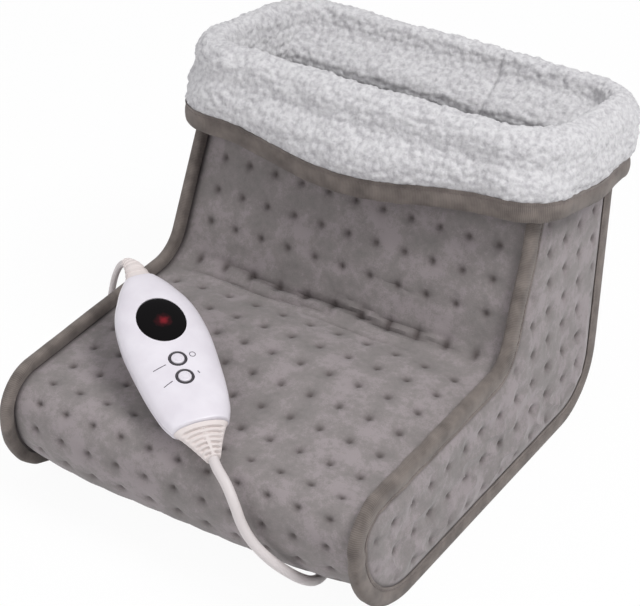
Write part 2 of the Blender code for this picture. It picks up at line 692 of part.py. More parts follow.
def cuff_binding(look):
    """Grosgrain tape folded over the cuff's hem."""
    hem = shaft_rectangle(HEM_Z)
    top = HEM_Z + TAPE_HEIGHT - GAP
    inner_top = HEM_Z + TAPE_INNER_HEIGHT
    leaned = shaft_rectangle(inner_top)
    outer = HEM_T + GAP
    low = HEM_Z - GAP
    left = swell_left(inner_top)
    levels = (
        (hem, outer + TAPE_T, HEM_OUTER_CORNER, low - TAPE_T, HEM_BOW, HEM_SAG),
        (hem, outer + TAPE_T, HEM_OUTER_CORNER, top, HEM_BOW, HEM_SAG),
        (hem, outer, HEM_OUTER_CORNER, top, HEM_BOW, HEM_SAG),
        (hem, outer, HEM_OUTER_CORNER, low, HEM_BOW, HEM_SAG),
        (hem, -GAP, HEM_CORNER, low, HEM_INNER_BOW, HEM_SAG),
        (leaned, -GAP, HEM_CORNER, inner_top, left * HEM_INNER_BOW, left * HEM_SAG),
        (leaned, -GAP - TAPE_T, HEM_CORNER, inner_top, left * HEM_INNER_BOW, left * HEM_SAG),
        (hem, -GAP - TAPE_T, HEM_CORNER, low - TAPE_T, HEM_INNER_BOW, HEM_SAG),
    )
    rings = [plan_ring(*level[:4], tilt_at(level[3]), *level[4:]) for level in levels]
    faces = loft_faces(len(rings), len(rings[0]), closed=True)
    return add_object("cuff_binding", mesh_from("cuff_binding", placed(np.vstack(rings)), faces), look)


def block(name, look, centre, size, parent=None):
    """A box by its centre and size."""
    work = bmesh.new()
    bmesh.ops.create_cube(work, size=1.0, matrix=Matrix.Translation(centre) @ Matrix.Diagonal((*size, 1.0)))
    mesh = bpy.data.meshes.new(name)
    work.to_mesh(mesh)
    work.free()
    return add_object(name, mesh, look, parent)


def turned(name, look, profile, centre, sides=24, parent=None, stretch=1.0):
    """A solid turned about a vertical axis through centre: profile is (radius, z), end to end.

    It is an oval where stretch, its length along x over its width, isn't 1.
    """
    angles = np.arange(sides) * math.tau / sides
    rings = []
    for radius, z in profile:
        x = stretch * radius * np.cos(angles)
        ring = np.column_stack((x, radius * np.sin(angles), np.full(sides, z)))
        rings.append(ring + np.array((centre[0], centre[1], 0.0)))
    return add_object(name, mesh_from(name, np.vstack(rings), loft_faces(len(profile), sides)), look, parent)


def turned_ring(name, look, section, centre, sides=24, parent=None):
    """A ring turned about a vertical axis through centre: section is (radius, z) round its wall."""
    points = []
    for angle in np.arange(sides) * math.tau / sides:
        for radius, z in section:
            points.append((centre[0] + radius * math.cos(angle), centre[1] + radius * math.sin(angle), z))
    faces = loft_faces(sides, len(section), closed=True)
    return add_object(name, mesh_from(name, points, faces), look, parent)


def sleeve(name, look, path, sizes, across, parent=None, sides=RELIEF_SIDES):
    """A solid along a path: oval rings of the given half sizes, across the path and off it."""
    path = np.asarray(path, float)
    tangents = np.gradient(path, axis=0)
    tangents /= np.linalg.norm(tangents, axis=1)[:, None]
    angles = np.arange(sides) * math.tau / sides
    rings = []
    for centre, tangent, (wide, tall) in zip(path, tangents, sizes):
        flat = np.asarray(across, float) - tangent * (np.asarray(across, float) @ tangent)
        flat /= np.linalg.norm(flat)
        off = np.cross(tangent, flat)
        rings.append(centre + np.outer(wide * np.cos(angles), flat) + np.outer(tall * np.sin(angles), off))
    return add_object(name, mesh_from(name, np.vstack(rings), loft_faces(len(path), sides)), look, parent)


def ribbed_sizes(shares, root, tip, ribs):
    """Half sizes of a tapering relief at shares of its length, with grooves between its ribs."""
    sizes = []
    for number, share in enumerate(shares):
        wide = root[0] + (tip - root[0]) * share ** 0.8
        tall = root[1] + (tip - root[1]) * share ** 0.8
        groove = RIB_DEPTH if ribs and number % 2 == 0 and 0 < number < len(shares) - 1 else 0.0
        sizes.append((wide - groove, tall - groove))
    return sizes


def rib_shares(ribs):
    """Shares of a relief's length where its rings lie: crests and grooves by turns."""
    return np.concatenate(((0.0,), np.linspace(RIBLESS_SHARE, 1.0, 2 * ribs)))


def at_share(share, table):
    """A controller size at a share of its half length, read from its table of shares."""
    return float(np.interp(share, STATION_SHARES, table))


def controller_half(name, look, table, depth, sign, shrink, sink, parent):
    """Half of the controller above or below its parting plane, or the cavity inside it.

    Its sections are half ovals |y|^n + |z|^n = 1, drawn in by shrink and sunk past the plane.
    """
    angles = np.linspace(0.0, math.pi, SECTION_POINTS)
    power = 2.0 / SECTION_POWER
    rings = []
    for share in STATION_SHARES:
        half = CONTROLLER_WIDTH / 2 * at_share(share, HALF_WIDTH_SHARES) - shrink
        height = depth * at_share(share, table) - shrink
        x = share * (CONTROLLER_LENGTH / 2 - shrink)
        y = -half * np.sign(np.cos(angles)) * np.abs(np.cos(angles)) ** power
        z = sign * (height * np.abs(np.sin(angles)) ** power + (0.0 if sink else GAP / 2))
        ring = np.column_stack((np.full(len(y), x), y, z))
        if sink:
            ring = np.vstack((ring, (x, y[-1], -sign * sink), (x, y[0], -sign * sink)))
        rings.append(ring)
    faces = loft_faces(len(rings), len(rings[0]))
    return add_object(name, mesh_from(name, np.vstack(rings), faces), look, parent)


def crown_at(x):
    """Height of the controller's face above its parting plane, along its middle."""
    return CONTROLLER_CROWN * at_share(x / (CONTROLLER_LENGTH / 2), CROWN_SHARES)


def belly_at(x):
    """Depth of the controller's underside below its parting plane, along its middle."""
    return CONTROLLER_BELLY * at_share(x / (CONTROLLER_LENGTH / 2), BELLY_SHARES)


def surface_at(x, y, table, depth):
    """Height of the controller's face or underside off its parting plane, at x and y."""
    share = x / (CONTROLLER_LENGTH / 2)
    half = CONTROLLER_WIDTH / 2 * at_share(share, HALF_WIDTH_SHARES)
    return depth * at_share(share, table) * (1.0 - (abs(y) / half) ** SECTION_POWER) ** (1.0 / SECTION_POWER)


def controller_matrix():
    """Where the controller lies: tipped along the toe and headed for its right front corner."""
    turns = [math.radians(turn) for turn in (0.0, CONTROLLER_TILT_DEG, CONTROLLER_HEADING_DEG)]
    place = Vector(placed(CONTROLLER_PLACE))
    return Matrix.Translation(place) @ Euler(turns, "XYZ").to_matrix().to_4x4()


def controller_point(x):
    """A point on the controller's axis, in the part's frame."""
    return np.array(controller_matrix() @ Vector((x, 0.0, 0.0)))


def screw_places():
    """Where the three screws stand: along the controller and across it."""
    places = []
    for along, across in SCREW_PLACES_SHARE:
        half = CONTROLLER_WIDTH / 2 * at_share(along, HALF_WIDTH_SHARES)
        places.append((along * CONTROLLER_LENGTH / 2, across * half))
    return places


def controller_shells(look, frame):
    """Two hollow clamshell mouldings with screw bosses, board posts and their openings."""
    wall = CONTROLLER_WALL
    top = controller_half("controller_top_shell", look, CROWN_SHARES, CONTROLLER_CROWN, 1, 0.0, 0.0, frame)
    bottom = controller_half(
        "controller_bottom_shell", look, BELLY_SHARES, CONTROLLER_BELLY, -1, 0.0, 0.0, frame
    )
    cut(top, controller_half("cavity_top", look, CROWN_SHARES, CONTROLLER_CROWN, 1, wall, OVERRUN, frame))
    cut(bottom, controller_half("cavity_low", look, BELLY_SHARES, CONTROLLER_BELLY, -1, wall, OVERRUN, frame))
    for number, (x, y) in enumerate(screw_places()):
        boss = SCREW_BOSS_RADIUS
        flank = abs(y) + boss
        roof = surface_at(x, flank, CROWN_SHARES, CONTROLLER_CROWN) - wall / 2
        floor = wall / 2 - surface_at(x, flank, BELLY_SHARES, CONTROLLER_BELLY)
        cut(top, turned(f"boss_{number}", look, ((boss, GAP), (boss, roof)), (x, y), 12, frame), "UNION")
        low = turned(f"low_boss_{number}", look, ((boss, floor), (boss, -GAP)), (x, y), 12, frame)
        cut(bottom, low, "UNION")
    for number, (along, across) in enumerate(POST_PLACES_SHARE):
        x = along * CONTROLLER_LENGTH / 2
        y = across * (CONTROLLER_WIDTH / 2 * at_share(along, HALF_WIDTH_SHARES) - BOARD_INSET)
        profile = ((POST_RADIUS, wall / 2 - belly_at(x)), (POST_RADIUS, BOARD_TOP_Z - BOARD_T - GAP))
        cut(bottom, turned(f"post_{number}", look, profile, (x, y), 10, frame), "UNION")
    for number, (x, y) in enumerate(screw_places()):
        seat = SCREW_HEAD_T + wall - belly_at(x)
        hole = SCREW_HOLE_RADIUS
        head = SCREW_HEAD_RADIUS + GAP
        pilot = ((hole, -OVERRUN), (hole, SCREW_REACH + wall / 2))
        cut(top, turned(f"pilot_{number}", look, pilot, (x, y), 12, frame))
        through = ((head, -CONTROLLER_BELLY - OVERRUN), (head, seat), (hole, seat), (hole, OVERRUN))
        cut(bottom, turned(f"through_{number}", look, through, (x, y), 12, frame))
    openings = (
        ("window_hole", DISPLAY_X, DISPLAY_RADIUS + GAP, 32, DISPLAY_STRETCH),
        ("power_hole", BUTTON_POWER_X, BEZEL_RADIUS + GAP, 20, 1.0),
        ("level_hole", BUTTON_LEVEL_X, BEZEL_RADIUS + GAP, 20, 1.0),
    )
    for name, x, radius, sides, stretch in openings:
        profile = ((radius, wall), (radius, CONTROLLER_CROWN + OVERRUN))
        cut(top, turned(name, look, profile, (x, 0.0), sides, frame, stretch))
    for name, side, radius in (("lower_hole", 1, LOWER_NECK_RADIUS), ("upper_hole", -1, UPPER_NECK_RADIUS)):
        reach = (radius + GAP, -OVERRUN), (radius + GAP, OVERRUN)
        hole = turned(name, look, reach, (0.0, 0.0), RELIEF_SIDES, frame)
        hole.data.transform(Matrix.Rotation(math.pi / 2, 4, "Y"))
        hole.data.transform(Matrix.Translation((side * CONTROLLER_LENGTH / 2, 0.0, 0.0)))
        cut(top, hole)
        cut(bottom, hole)


def display(window_look, module_look, frame):
    """The domed black window and the display module behind it, standing on the board."""
    edge = crown_at(DISPLAY_X) - WINDOW_DOME
    low = edge - WINDOW_T
    dome = [(DISPLAY_RADIUS * out, edge + WINDOW_DOME * up) for out, up in WINDOW_DOME_SHARES]
    profile = [(DISPLAY_RADIUS, low), *dome]
    turned("display_window", window_look, profile, (DISPLAY_X, 0.0), 32, frame, DISPLAY_STRETCH)
    top = low - GAP
    profile = (
        (MODULE_RADIUS, BOARD_TOP_Z + GAP), (MODULE_RADIUS, top - MODULE_CHAMFER), (MODULE_TOP_RADIUS, top),
    )
    turned("display_module", module_look, profile, (DISPLAY_X, 0.0), 24, frame, DISPLAY_STRETCH)


def circuit_board(look, frame):
    """The board: the controller's plan, inset, and cut square at both ends."""
    shares = [s for s in STATION_SHARES if abs(s) < BOARD_END_SHARE]
    shares = [-BOARD_END_SHARE, *shares, BOARD_END_SHARE]
    points = []
    for side in (1, -1):
        for share in shares[::side]:
            half = CONTROLLER_WIDTH / 2 * at_share(share, HALF_WIDTH_SHARES) - BOARD_INSET
            points.append((share * CONTROLLER_LENGTH / 2, side * half))
    flat = np.array(points)
    top = np.column_stack((flat, np.full(len(flat), BOARD_TOP_Z)))
    low = np.column_stack((flat, np.full(len(flat), BOARD_TOP_Z - BOARD_T)))
    mesh = mesh_from("circuit_board", np.vstack((top, low)), loft_faces(2, len(flat)))
    add_object("circuit_board", mesh, look, frame)


def button_set(name, x, looks, frame):
    """A push button, its dark bezel, its plunger and the switch that it presses.

    The button's empty stands on its axis, which runs out of the controller's face.
    """
    face = crown_at(x)
    rim = face - CONTROLLER_WALL - ROOF_DROP - GAP
    low = rim - BEZEL_FLANGE_T
    bore = BUTTON_RADIUS + GAP
    section = (
        (bore, low), (BEZEL_FLANGE_RADIUS, low), (BEZEL_FLANGE_RADIUS, rim), (BEZEL_RADIUS, rim),
        (BEZEL_RADIUS, face + BEZEL_PROUD), (bore, face + BEZEL_PROUD),
    )
    turned_ring(f"bezel_{name}", looks["bezel"], section, (x, 0.0), 20, frame)
    switch_top = BOARD_TOP_Z + GAP + SWITCH_HEIGHT
    flange_top = low - GAP
    flange_low = flange_top - BUTTON_FLANGE_T
    stem_low = switch_top + BUTTON_TRAVEL + GAP
    axis = bpy.data.objects.new(f"axis_{name}", None)
    bpy.context.collection.objects.link(axis)
    axis.parent = frame
    axis.location = (x, 0.0, 0.0)
    profile = (
        (BUTTON_STEM_RADIUS, stem_low), (BUTTON_STEM_RADIUS, flange_low), (BUTTON_FLANGE_RADIUS, flange_low),
        (BUTTON_FLANGE_RADIUS, flange_top), (BUTTON_RADIUS, flange_top),
        (BUTTON_RADIUS, face + BUTTON_PROUD - BUTTON_EDGE), (BUTTON_RADIUS - BUTTON_EDGE, face + BUTTON_PROUD),
    )
    turned(f"button_{name}", looks["shell"], profile, (0.0, 0.0), 20, axis)
    plunger_low = BOARD_TOP_Z + GAP + SWITCH_FLOOR + BUTTON_TRAVEL + GAP
    profile = ((PLUNGER_RADIUS, plunger_low), (PLUNGER_RADIUS, stem_low - GAP))
    turned(f"switch_plunger_{name}", looks["bezel"], profile, (0.0, 0.0), 12, axis)
    middle = BOARD_TOP_Z + GAP + SWITCH_HEIGHT / 2
    switch = block(
        f"tact_switch_{name}", looks["metal"], (x, 0.0, middle), (SWITCH_SIDE, SWITCH_SIDE, SWITCH_HEIGHT), frame
    )
    profile = ((SWITCH_BORE_RADIUS, BOARD_TOP_Z + GAP + SWITCH_FLOOR), (SWITCH_BORE_RADIUS, switch_top + OVERRUN))
    cut(switch, turned(f"switch_bore_{name}", looks["metal"], profile, (x, 0.0), 12, frame))


def controller_screws(look, frame):
    """Three screws from below, their heads sunk in the bottom shell."""
    for number, (x, y) in enumerate(screw_places(), 1):
        seat = SCREW_HEAD_T + CONTROLLER_WALL - belly_at(x) - GAP
        profile = (
            (SCREW_HEAD_RADIUS, seat - SCREW_HEAD_T), (SCREW_HEAD_RADIUS, seat),
            (SCREW_SHANK_RADIUS, seat), (SCREW_SHANK_RADIUS, SCREW_REACH),
        )
        turned(f"controller_screw_{number}", look, profile, (x, y), 12, frame)


def smooth_route(points, step):
    """Evenly spaced points along a smooth curve through the given points (centripetal spline)."""
    knots = np.asarray(points, float)
    ends = np.vstack((2 * knots[0] - knots[1], knots, 2 * knots[-1] - knots[-2]))
    dense = []
    for p0, p1, p2, p3 in zip(ends[:-3], ends[1:-2], ends[2:-1], ends[3:]):
        t0 = 0.0
        t1 = t0 + math.sqrt(np.linalg.norm(p1 - p0))
        t2 = t1 + math.sqrt(np.linalg.norm(p2 - p1))
        t3 = t2 + math.sqrt(np.linalg.norm(p3 - p2))
        t = np.linspace(t1, t2, 24, endpoint=False)[:, None]
        a1 = (t1 - t) / (t1 - t0) * p0 + (t - t0) / (t1 - t0) * p1
        a2 = (t2 - t) / (t2 - t1) * p1 + (t - t1) / (t2 - t1) * p2
        a3 = (t3 - t) / (t3 - t2) * p2 + (t - t2) / (t3 - t2) * p3
        b1 = (t2 - t) / (t2 - t0) * a1 + (t - t0) / (t2 - t0) * a2
        b2 = (t3 - t) / (t3 - t1) * a2 + (t - t1) / (t3 - t1) * a3
        dense.append((t2 - t) / (t2 - t1) * b1 + (t - t1) / (t2 - t1) * b2)
    return spaced(np.vstack((*dense, knots[-1:])), step)


def spaced(points, step):
    """A line's points read again at an even step."""
    along = np.concatenate(((0.0,), np.cumsum(np.linalg.norm(np.diff(points, axis=0), axis=1))))
    places = np.linspace(0.0, along[-1], max(2, round(along[-1] / step) + 1))
    return np.column_stack([np.interp(places, along, points[:, k]) for k in range(3)])


def split_line(points, length):
    """A line cut at a length along it: the piece before, and the piece from there on."""
    along = np.concatenate(((0.0,), np.cumsum(np.linalg.norm(np.diff(points, axis=0), axis=1))))
    at = np.array([np.interp(length, along, points[:, k]) for k in range(3)])
    return np.vstack((points[along < length], at)), np.vstack((at, points[along > length]))


def tube(name, look, points, diameter, resolution):
    """A round tube with filled ends along a line of points."""
    curve = bpy.data.curves.new(name, "CURVE")
    curve.dimensions = "3D"
    spline = curve.splines.new("POLY")
    spline.points.add(len(points) - 1)
    for spot, point in zip(spline.points, points):
        spot.co = (*(float(v) for v in point), 1.0)
    curve.bevel_depth = diameter / 2
    curve.bevel_resolution = resolution
    curve.use_fill_caps = True
    curve.materials.append(look)
    made = bpy.data.objects.new(name, curve)
    bpy.context.collection.objects.link(made)
    return made


def lower_relief(look, frame):
    """Ribbed relief where the mains cord leaves: flat and wide at its root, round at its tip."""
    end = CONTROLLER_LENGTH / 2
    shares = rib_shares(LOWER_RELIEF_RIBS)
    inner = end - CONTROLLER_WALL - GAP
    x = [inner - OVERRUN / 2, inner, inner, end + GAP, *(end + GAP + LOWER_RELIEF_LENGTH * shares)]
    sizes = [(LOWER_HEAD_RADIUS,) * 2] * 2 + [(LOWER_NECK_RADIUS,) * 2] * 2
    sizes += ribbed_sizes(shares, LOWER_RELIEF_ROOT, LOWER_RELIEF_TIP, LOWER_RELIEF_RIBS)
    rings = straight_rings(x, sizes, RELIEF_SIDES)
    mesh = mesh_from("strain_relief_lower", rings, loft_faces(len(x), RELIEF_SIDES))
    add_object("strain_relief_lower", mesh, look, frame)


def straight_rings(places, sizes, sides):
    """Oval rings square to the x axis at the given places."""
    angles = np.arange(sides) * math.tau / sides
    rings = []
    for x, (wide, tall) in zip(places, sizes):
        rings.append(np.column_stack((np.full(sides, x), wide * np.cos(angles), tall * np.sin(angles))))
    return np.vstack(rings)


def heater_line():
    """Centreline of the heater cord, from inside the controller's upper end to the outlet's tip."""
    axis = controller_point(0.0) - controller_point(1.0)
    start = controller_point(-CONTROLLER_LENGTH / 2)
    tip = outlet_tip()
    run = np.array((0.0, HEATER_END_RUN, 0.0))
    straight = UPPER_RELIEF_STRAIGHT * axis
    route = [start, start + straight / 2, start + straight, *placed(HEATER_ROUTE), tip - run, tip]
    return smooth_route(route, WIRE_D / 2)


def upper_relief(look, line):
    """Ribbed relief that follows the heater cord out of the controller's upper end."""
    axis = controller_point(0.0) - controller_point(1.0)
    start = controller_point(-CONTROLLER_LENGTH / 2)
    body, _ = split_line(line, UPPER_RELIEF_LENGTH)
    shares = rib_shares(UPPER_RELIEF_RIBS)
    along = np.concatenate(((0.0,), np.cumsum(np.linalg.norm(np.diff(body, axis=0), axis=1))))
    spots = np.column_stack([np.interp(shares * along[-1], along, body[:, k]) for k in range(3)])
    spots += UPPER_RELIEF_SEAT * np.outer(1.0 - shares, axis)
    wall = CONTROLLER_WALL + GAP
    neck = [start - (wall + OVERRUN / 2) * axis, start - wall * axis, start - CONTROLLER_WALL * axis,
            start + GAP / 2 * axis]
    sizes = [(UPPER_HEAD_RADIUS,) * 2] * 2 + [(UPPER_NECK_RADIUS,) * 2] * 2
    sizes += ribbed_sizes(shares, UPPER_RELIEF_ROOT, UPPER_RELIEF_TIP, UPPER_RELIEF_RIBS)
    across = np.cross(axis, (0.0, 0.0, 1.0))
    return sleeve("strain_relief_upper", look, [*neck, *spots], sizes, across)


def outlet_axis_x():
    """The x of the outlet sleeve's axis, which runs along the left side panel."""
    face = seam_x(OUTLET_Z) + EDGE_T + SIDE_CROWN + 2 * GAP
    return -(face + OUTLET_SLEEVE_RADIUS)


def outlet_tip():
    """Where the outlet's sleeve ends, in the part's frame."""
    return placed((outlet_axis_x(), OUTLET_Y - OUTLET_SLEEVE_LENGTH, OUTLET_Z))


def cord_outlet(look):
    """Oval plate, sleeve and shank: the plate leans with the panel that it is fixed to."""
    axis_x = outlet_axis_x()
    face = -(seam_x(OUTLET_Z) + EDGE_T + SIDE_CROWN + 2 * GAP)
    angles = np.arange(20) * math.tau / 20
    rings = []
    for depth in (0.0, OUTLET_PLATE_T):
        y = OUTLET_Y + OUTLET_PLATE_HALF[0] * np.cos(angles)
        z = OUTLET_Z + OUTLET_PLATE_HALF[1] * np.sin(angles)
        rings.append(np.column_stack((face - depth + SIDE_SLOPE * (z - OUTLET_Z), y, z)))
    points = placed(np.vstack(rings))
    plate = add_object("cord_outlet", mesh_from("cord_outlet", points, loft_faces(2, 20)), look)
    shares = rib_shares(4)
    y = np.concatenate(((OUTLET_Y + OUTLET_SLEEVE_RADIUS,), OUTLET_Y - OUTLET_SLEEVE_LENGTH * shares))
    path = placed(np.column_stack((np.full(len(y), axis_x), y, np.full(len(y), OUTLET_Z))))
    root = (OUTLET_SLEEVE_RADIUS, OUTLET_SLEEVE_RADIUS)
    sizes = [root, *ribbed_sizes(shares, root, OUTLET_SLEEVE_TIP, 4)]
    cut(plate, sleeve("outlet_sleeve", look, path, sizes, (0.0, 0.0, 1.0)), "UNION")
    inner = -seam_x(OUTLET_Z)
    path = placed(((face - OUTLET_PLATE_T / 2, OUTLET_Y, OUTLET_Z), (inner, OUTLET_Y, OUTLET_Z)))
    shank = [(OUTLET_SHANK_RADIUS,) * 2] * 2
    cut(plate, sleeve("outlet_shank", look, path, shank, (0.0, 0.0, 1.0)), "UNION")


def hole_along_x(target, look, radius, name):
    """Cut a round hole through target at the outlet, along X."""
    reach = SIDE_STEP + OVERRUN
    middle = -seam_x(OUTLET_Z)
    path = placed(((middle - reach, OUTLET_Y, OUTLET_Z), (middle + reach, OUTLET_Y, OUTLET_Z)))
    cut(target, sleeve(name, look, path, [(radius, radius)] * 2, (0.0, 0.0, 1.0)))


def first_run_x():
    """The x of the heating wire's first run: beyond the wire's tail and the bend after it."""
    return wire_start_x() + WIRE_TAIL + WIRE_LEAD_RADIUS


def wire_run_pitch():
    """The distance between the heating wire's runs, which share the sole's width evenly."""
    return -2 * first_run_x() / (WIRE_RUNS - 1)


def wire_start_x():
    """The x of the heating wire's start, where the lead from the cord outlet ends."""
    return INNER_LEAD_LENGTH + 2 * GAP - seam_x(OUTLET_Z)


def heating_wire(look, z):
    """One two-core heating wire laid to and fro along the sole, with round turns."""
    radius = wire_run_pitch() / 2
    first = first_run_x()
    bend = WIRE_LEAD_RADIUS
    points = [(wire_start_x(), OUTLET_Y)]
    for angle in np.linspace(math.pi / 2, 0.0, 4):
        points.append((first - bend + bend * math.cos(angle), OUTLET_Y - bend + bend * math.sin(angle)))
    for run in range(WIRE_RUNS - 1):
        x = first + (2 * run + 1) * radius
        down = run % 2 == 0
        y = WIRE_FRONT_Y if down else WIRE_BACK_Y
        for angle in np.linspace(math.pi, 0.0, WIRE_TURN_POINTS):
            lift = math.sin(angle) * radius * (-1 if down else 1)
            points.append((x + radius * math.cos(angle), y + lift))
    points.append((-first, WIRE_BACK_Y))
    flat = np.array(points)
    tube("heating_wire", look, placed(np.column_stack((flat, np.full(len(flat), z)))), WIRE_D, 2)


def sole_stack(looks, outline, along):
    """Foam, heating pad, wire with its thermal cut-outs, and the sole's lining."""
    depth = STACK
    plain_strip("sole_foam", looks["foam"], outline, along, depth, FOAM_T)
    depth += FOAM_T + GAP
    plain_strip("heating_pad", looks["felt"], outline, along, depth, HEATING_PAD_T)
    depth += HEATING_PAD_T
    heating_wire(looks["wire"], depth + GAP + WIRE_D / 2)
    for number, run in enumerate(CUTOUT_RUNS, 1):
        centre = (first_run_x() + run * wire_run_pitch(), CUTOUT_Y, depth + GAP + CUTOUT_SIZE[2] / 2)
        block(f"thermal_cutout_{number}", looks["metal"], placed(centre), CUTOUT_SIZE)
    depth += HEATER_LAYER + GAP
    plain_strip("lining_sole", looks["sherpa"], outline, along, depth, SOLE_LINING_T)


def least_gap(points, diameter):
    """The least clear distance between a wound tube's turns, away from neighbouring points."""
    apart = np.linalg.norm(points[:, None] - points[None, :], axis=-1)
    index = np.arange(len(points))
    apart[np.abs(index[:, None] - index[None, :]) < COIL_POINTS / 2] = math.inf
    return float(apart.min()) - diameter


def ease(t):
    """A smooth step from 0 to 1."""
    return t * t * (3 - 2 * t)


def coil_points():
    """Centreline of the coil: in along the lower layer, up where it turns back, out along the upper.

    Radius falls and rises by one pitch a turn, and the climb takes the half turn at the reversal.
    """
    exit_turns = COIL_EXIT_DEG / 360.0
    turns = COIL_TURNS_PER_LAYER
    count = round((2 * turns + exit_turns) * COIL_POINTS)
    turned_by = np.linspace(0.0, 2 * turns + exit_turns, count + 1)
    inward = np.abs(turned_by - turns)
    radius = COIL_INNER_RADIUS + COIL_PITCH * np.hypot(inward, COIL_REVERSAL_SHARE)
    z = COIL_Z + COIL_LIFT * ease(np.clip((turned_by - turns) / COIL_CLIMB_TURNS + 0.5, 0.0, 1.0))
    angle = turned_by * math.tau
    x = COIL_CENTRE[0] + radius * np.cos(angle)
    y = COIL_CENTRE[1] + radius * np.sin(angle)
    turns_only = np.column_stack((x, y, z))
    first = turns_only[0] - np.array((0.0, MAINS_CORD_D, 0.0))
    leg = []
    last = turns_only[-1]
    for share, drop in COIL_EXIT_SHARES:
        level = last[2] + (PLUG_AXIS_Z - last[2]) * drop
        leg.append((last[0] - COIL_EXIT_LENGTH * share, last[1], level))
    leg.append((leg[-1][0] - MAINS_CORD_D, last[1], PLUG_AXIS_Z))
    print(f"coil: least gap between turns {least_gap(turns_only, MAINS_CORD_D) * 1000:.2f} mm")
    return placed(np.vstack((first, turns_only, leg)))


def coil_tie(look):
    """A strap round all the coil's turns at one place."""
    outer = COIL_INNER_RADIUS + COIL_PITCH * COIL_TURNS_PER_LAYER + MAINS_CORD_D / 2 + TIE_SLACK
    inner = COIL_INNER_RADIUS - MAINS_CORD_D / 2 - TIE_SLACK
    low = COIL_Z - MAINS_CORD_D / 2 - GAP
    high = COIL_Z + COIL_LIFT + MAINS_CORD_D / 2 + GAP
    angle = math.radians(TIE_PLACE_DEG)
    out = np.array((math.cos(angle), math.sin(angle), 0.0))
    along = np.array((-math.sin(angle), math.cos(angle), 0.0)) * TIE_WIDTH / 2
    centre = np.array((*COIL_CENTRE, 0.0))
    rings = []
    for reach, height, step, lift in (
        (inner, low, -TIE_T, -TIE_T), (outer, low, TIE_T, -TIE_T),
        (outer, high, TIE_T, TIE_T), (inner, high, -TIE_T, TIE_T),
    ):
        near = centre + out * reach + np.array((0.0, 0.0, height))
        far = centre + out * (reach + step) + np.array((0.0, 0.0, height + lift))
        rings += [near - along, near + along, far + along, far - along]
    mesh = mesh_from("coil_tie", placed(rings), loft_faces(4, 4, closed=True))
    return add_object("coil_tie", mesh, look)


def plug(looks, end):
    """Flat two-pin plug beyond the coil's end: body, ribbed relief and two pins."""
    frame = bpy.data.objects.new("plug_frame", None)
    bpy.context.collection.objects.link(frame)
    frame.location = end - np.array((GAP, 0.0, 0.0))
    frame.rotation_euler = (0.0, 0.0, math.pi)
    shares = rib_shares(PLUG_RELIEF_RIBS)[::-1]
    length = PLUG_RELIEF_LENGTH
    neck = length + PLUG_NECK_LENGTH
    x = [*(length * (1 - shares)), length, neck]
    sizes = ribbed_sizes(shares, PLUG_RELIEF_ROOT, PLUG_RELIEF_TIP, PLUG_RELIEF_RIBS)
    sizes += [(PLUG_NECK_RADIUS,) * 2] * 2
    rings = straight_rings(x, sizes, RELIEF_SIDES)
    mesh = mesh_from("plug_strain_relief", rings, loft_faces(len(x), RELIEF_SIDES))
    add_object("plug_strain_relief", mesh, looks["relief"], frame)
    back = length + GAP
    angles = np.arange(PLUG_SIDES) * math.tau / PLUG_SIDES
    power = 2.0 / PLUG_CORNER_POWER
    rings = []
    for share, wide, tall in PLUG_SHARES:
        y = PLUG_HALF_WIDTH * wide * np.sign(np.cos(angles)) * np.abs(np.cos(angles)) ** power
        z = PLUG_HALF_HEIGHT * tall * np.sign(np.sin(angles)) * np.abs(np.sin(angles)) ** power
        rings.append(np.column_stack((np.full(PLUG_SIDES, back + share * PLUG_LENGTH), y, z)))
    mesh = mesh_from("plug_body", np.vstack(rings), loft_faces(len(rings), PLUG_SIDES))
    body = add_object("plug_body", mesh, looks["relief"], frame)
    holes = [("plug_neck_hole", back - OVERRUN, neck + GAP, PLUG_NECK_RADIUS + GAP, 0.0)]
    front = back + PLUG_LENGTH
    for number, y in ((1, -PIN_SPREAD / 2), (2, PIN_SPREAD / 2)):
        start = front - PIN_ROOT
        sizes = [(PIN_RADIUS, PIN_RADIUS)] * 2 + [(PIN_RADIUS / 2, PIN_RADIUS / 2)]
        tip = front + PIN_LENGTH
        rings = straight_rings((start, tip - PIN_RADIUS / 2, tip), sizes, 12) + np.array((0.0, y, 0.0))
        mesh = mesh_from(f"plug_pin_{number}", rings, loft_faces(3, 12))
        add_object(f"plug_pin_{number}", mesh, looks["metal"], frame)
        holes.append((f"pin_hole_{number}", start - GAP, front + OVERRUN, PIN_RADIUS + GAP, y))
    for name, near, far, radius, y in holes:
        rings = straight_rings((near, far), [(radius, radius)] * 2, 12) + np.array((0.0, y, 0.0))
        tool = add_object(name, mesh_from(name, rings, loft_faces(2, 12)), looks["relief"], frame)
        cut(body, tool)


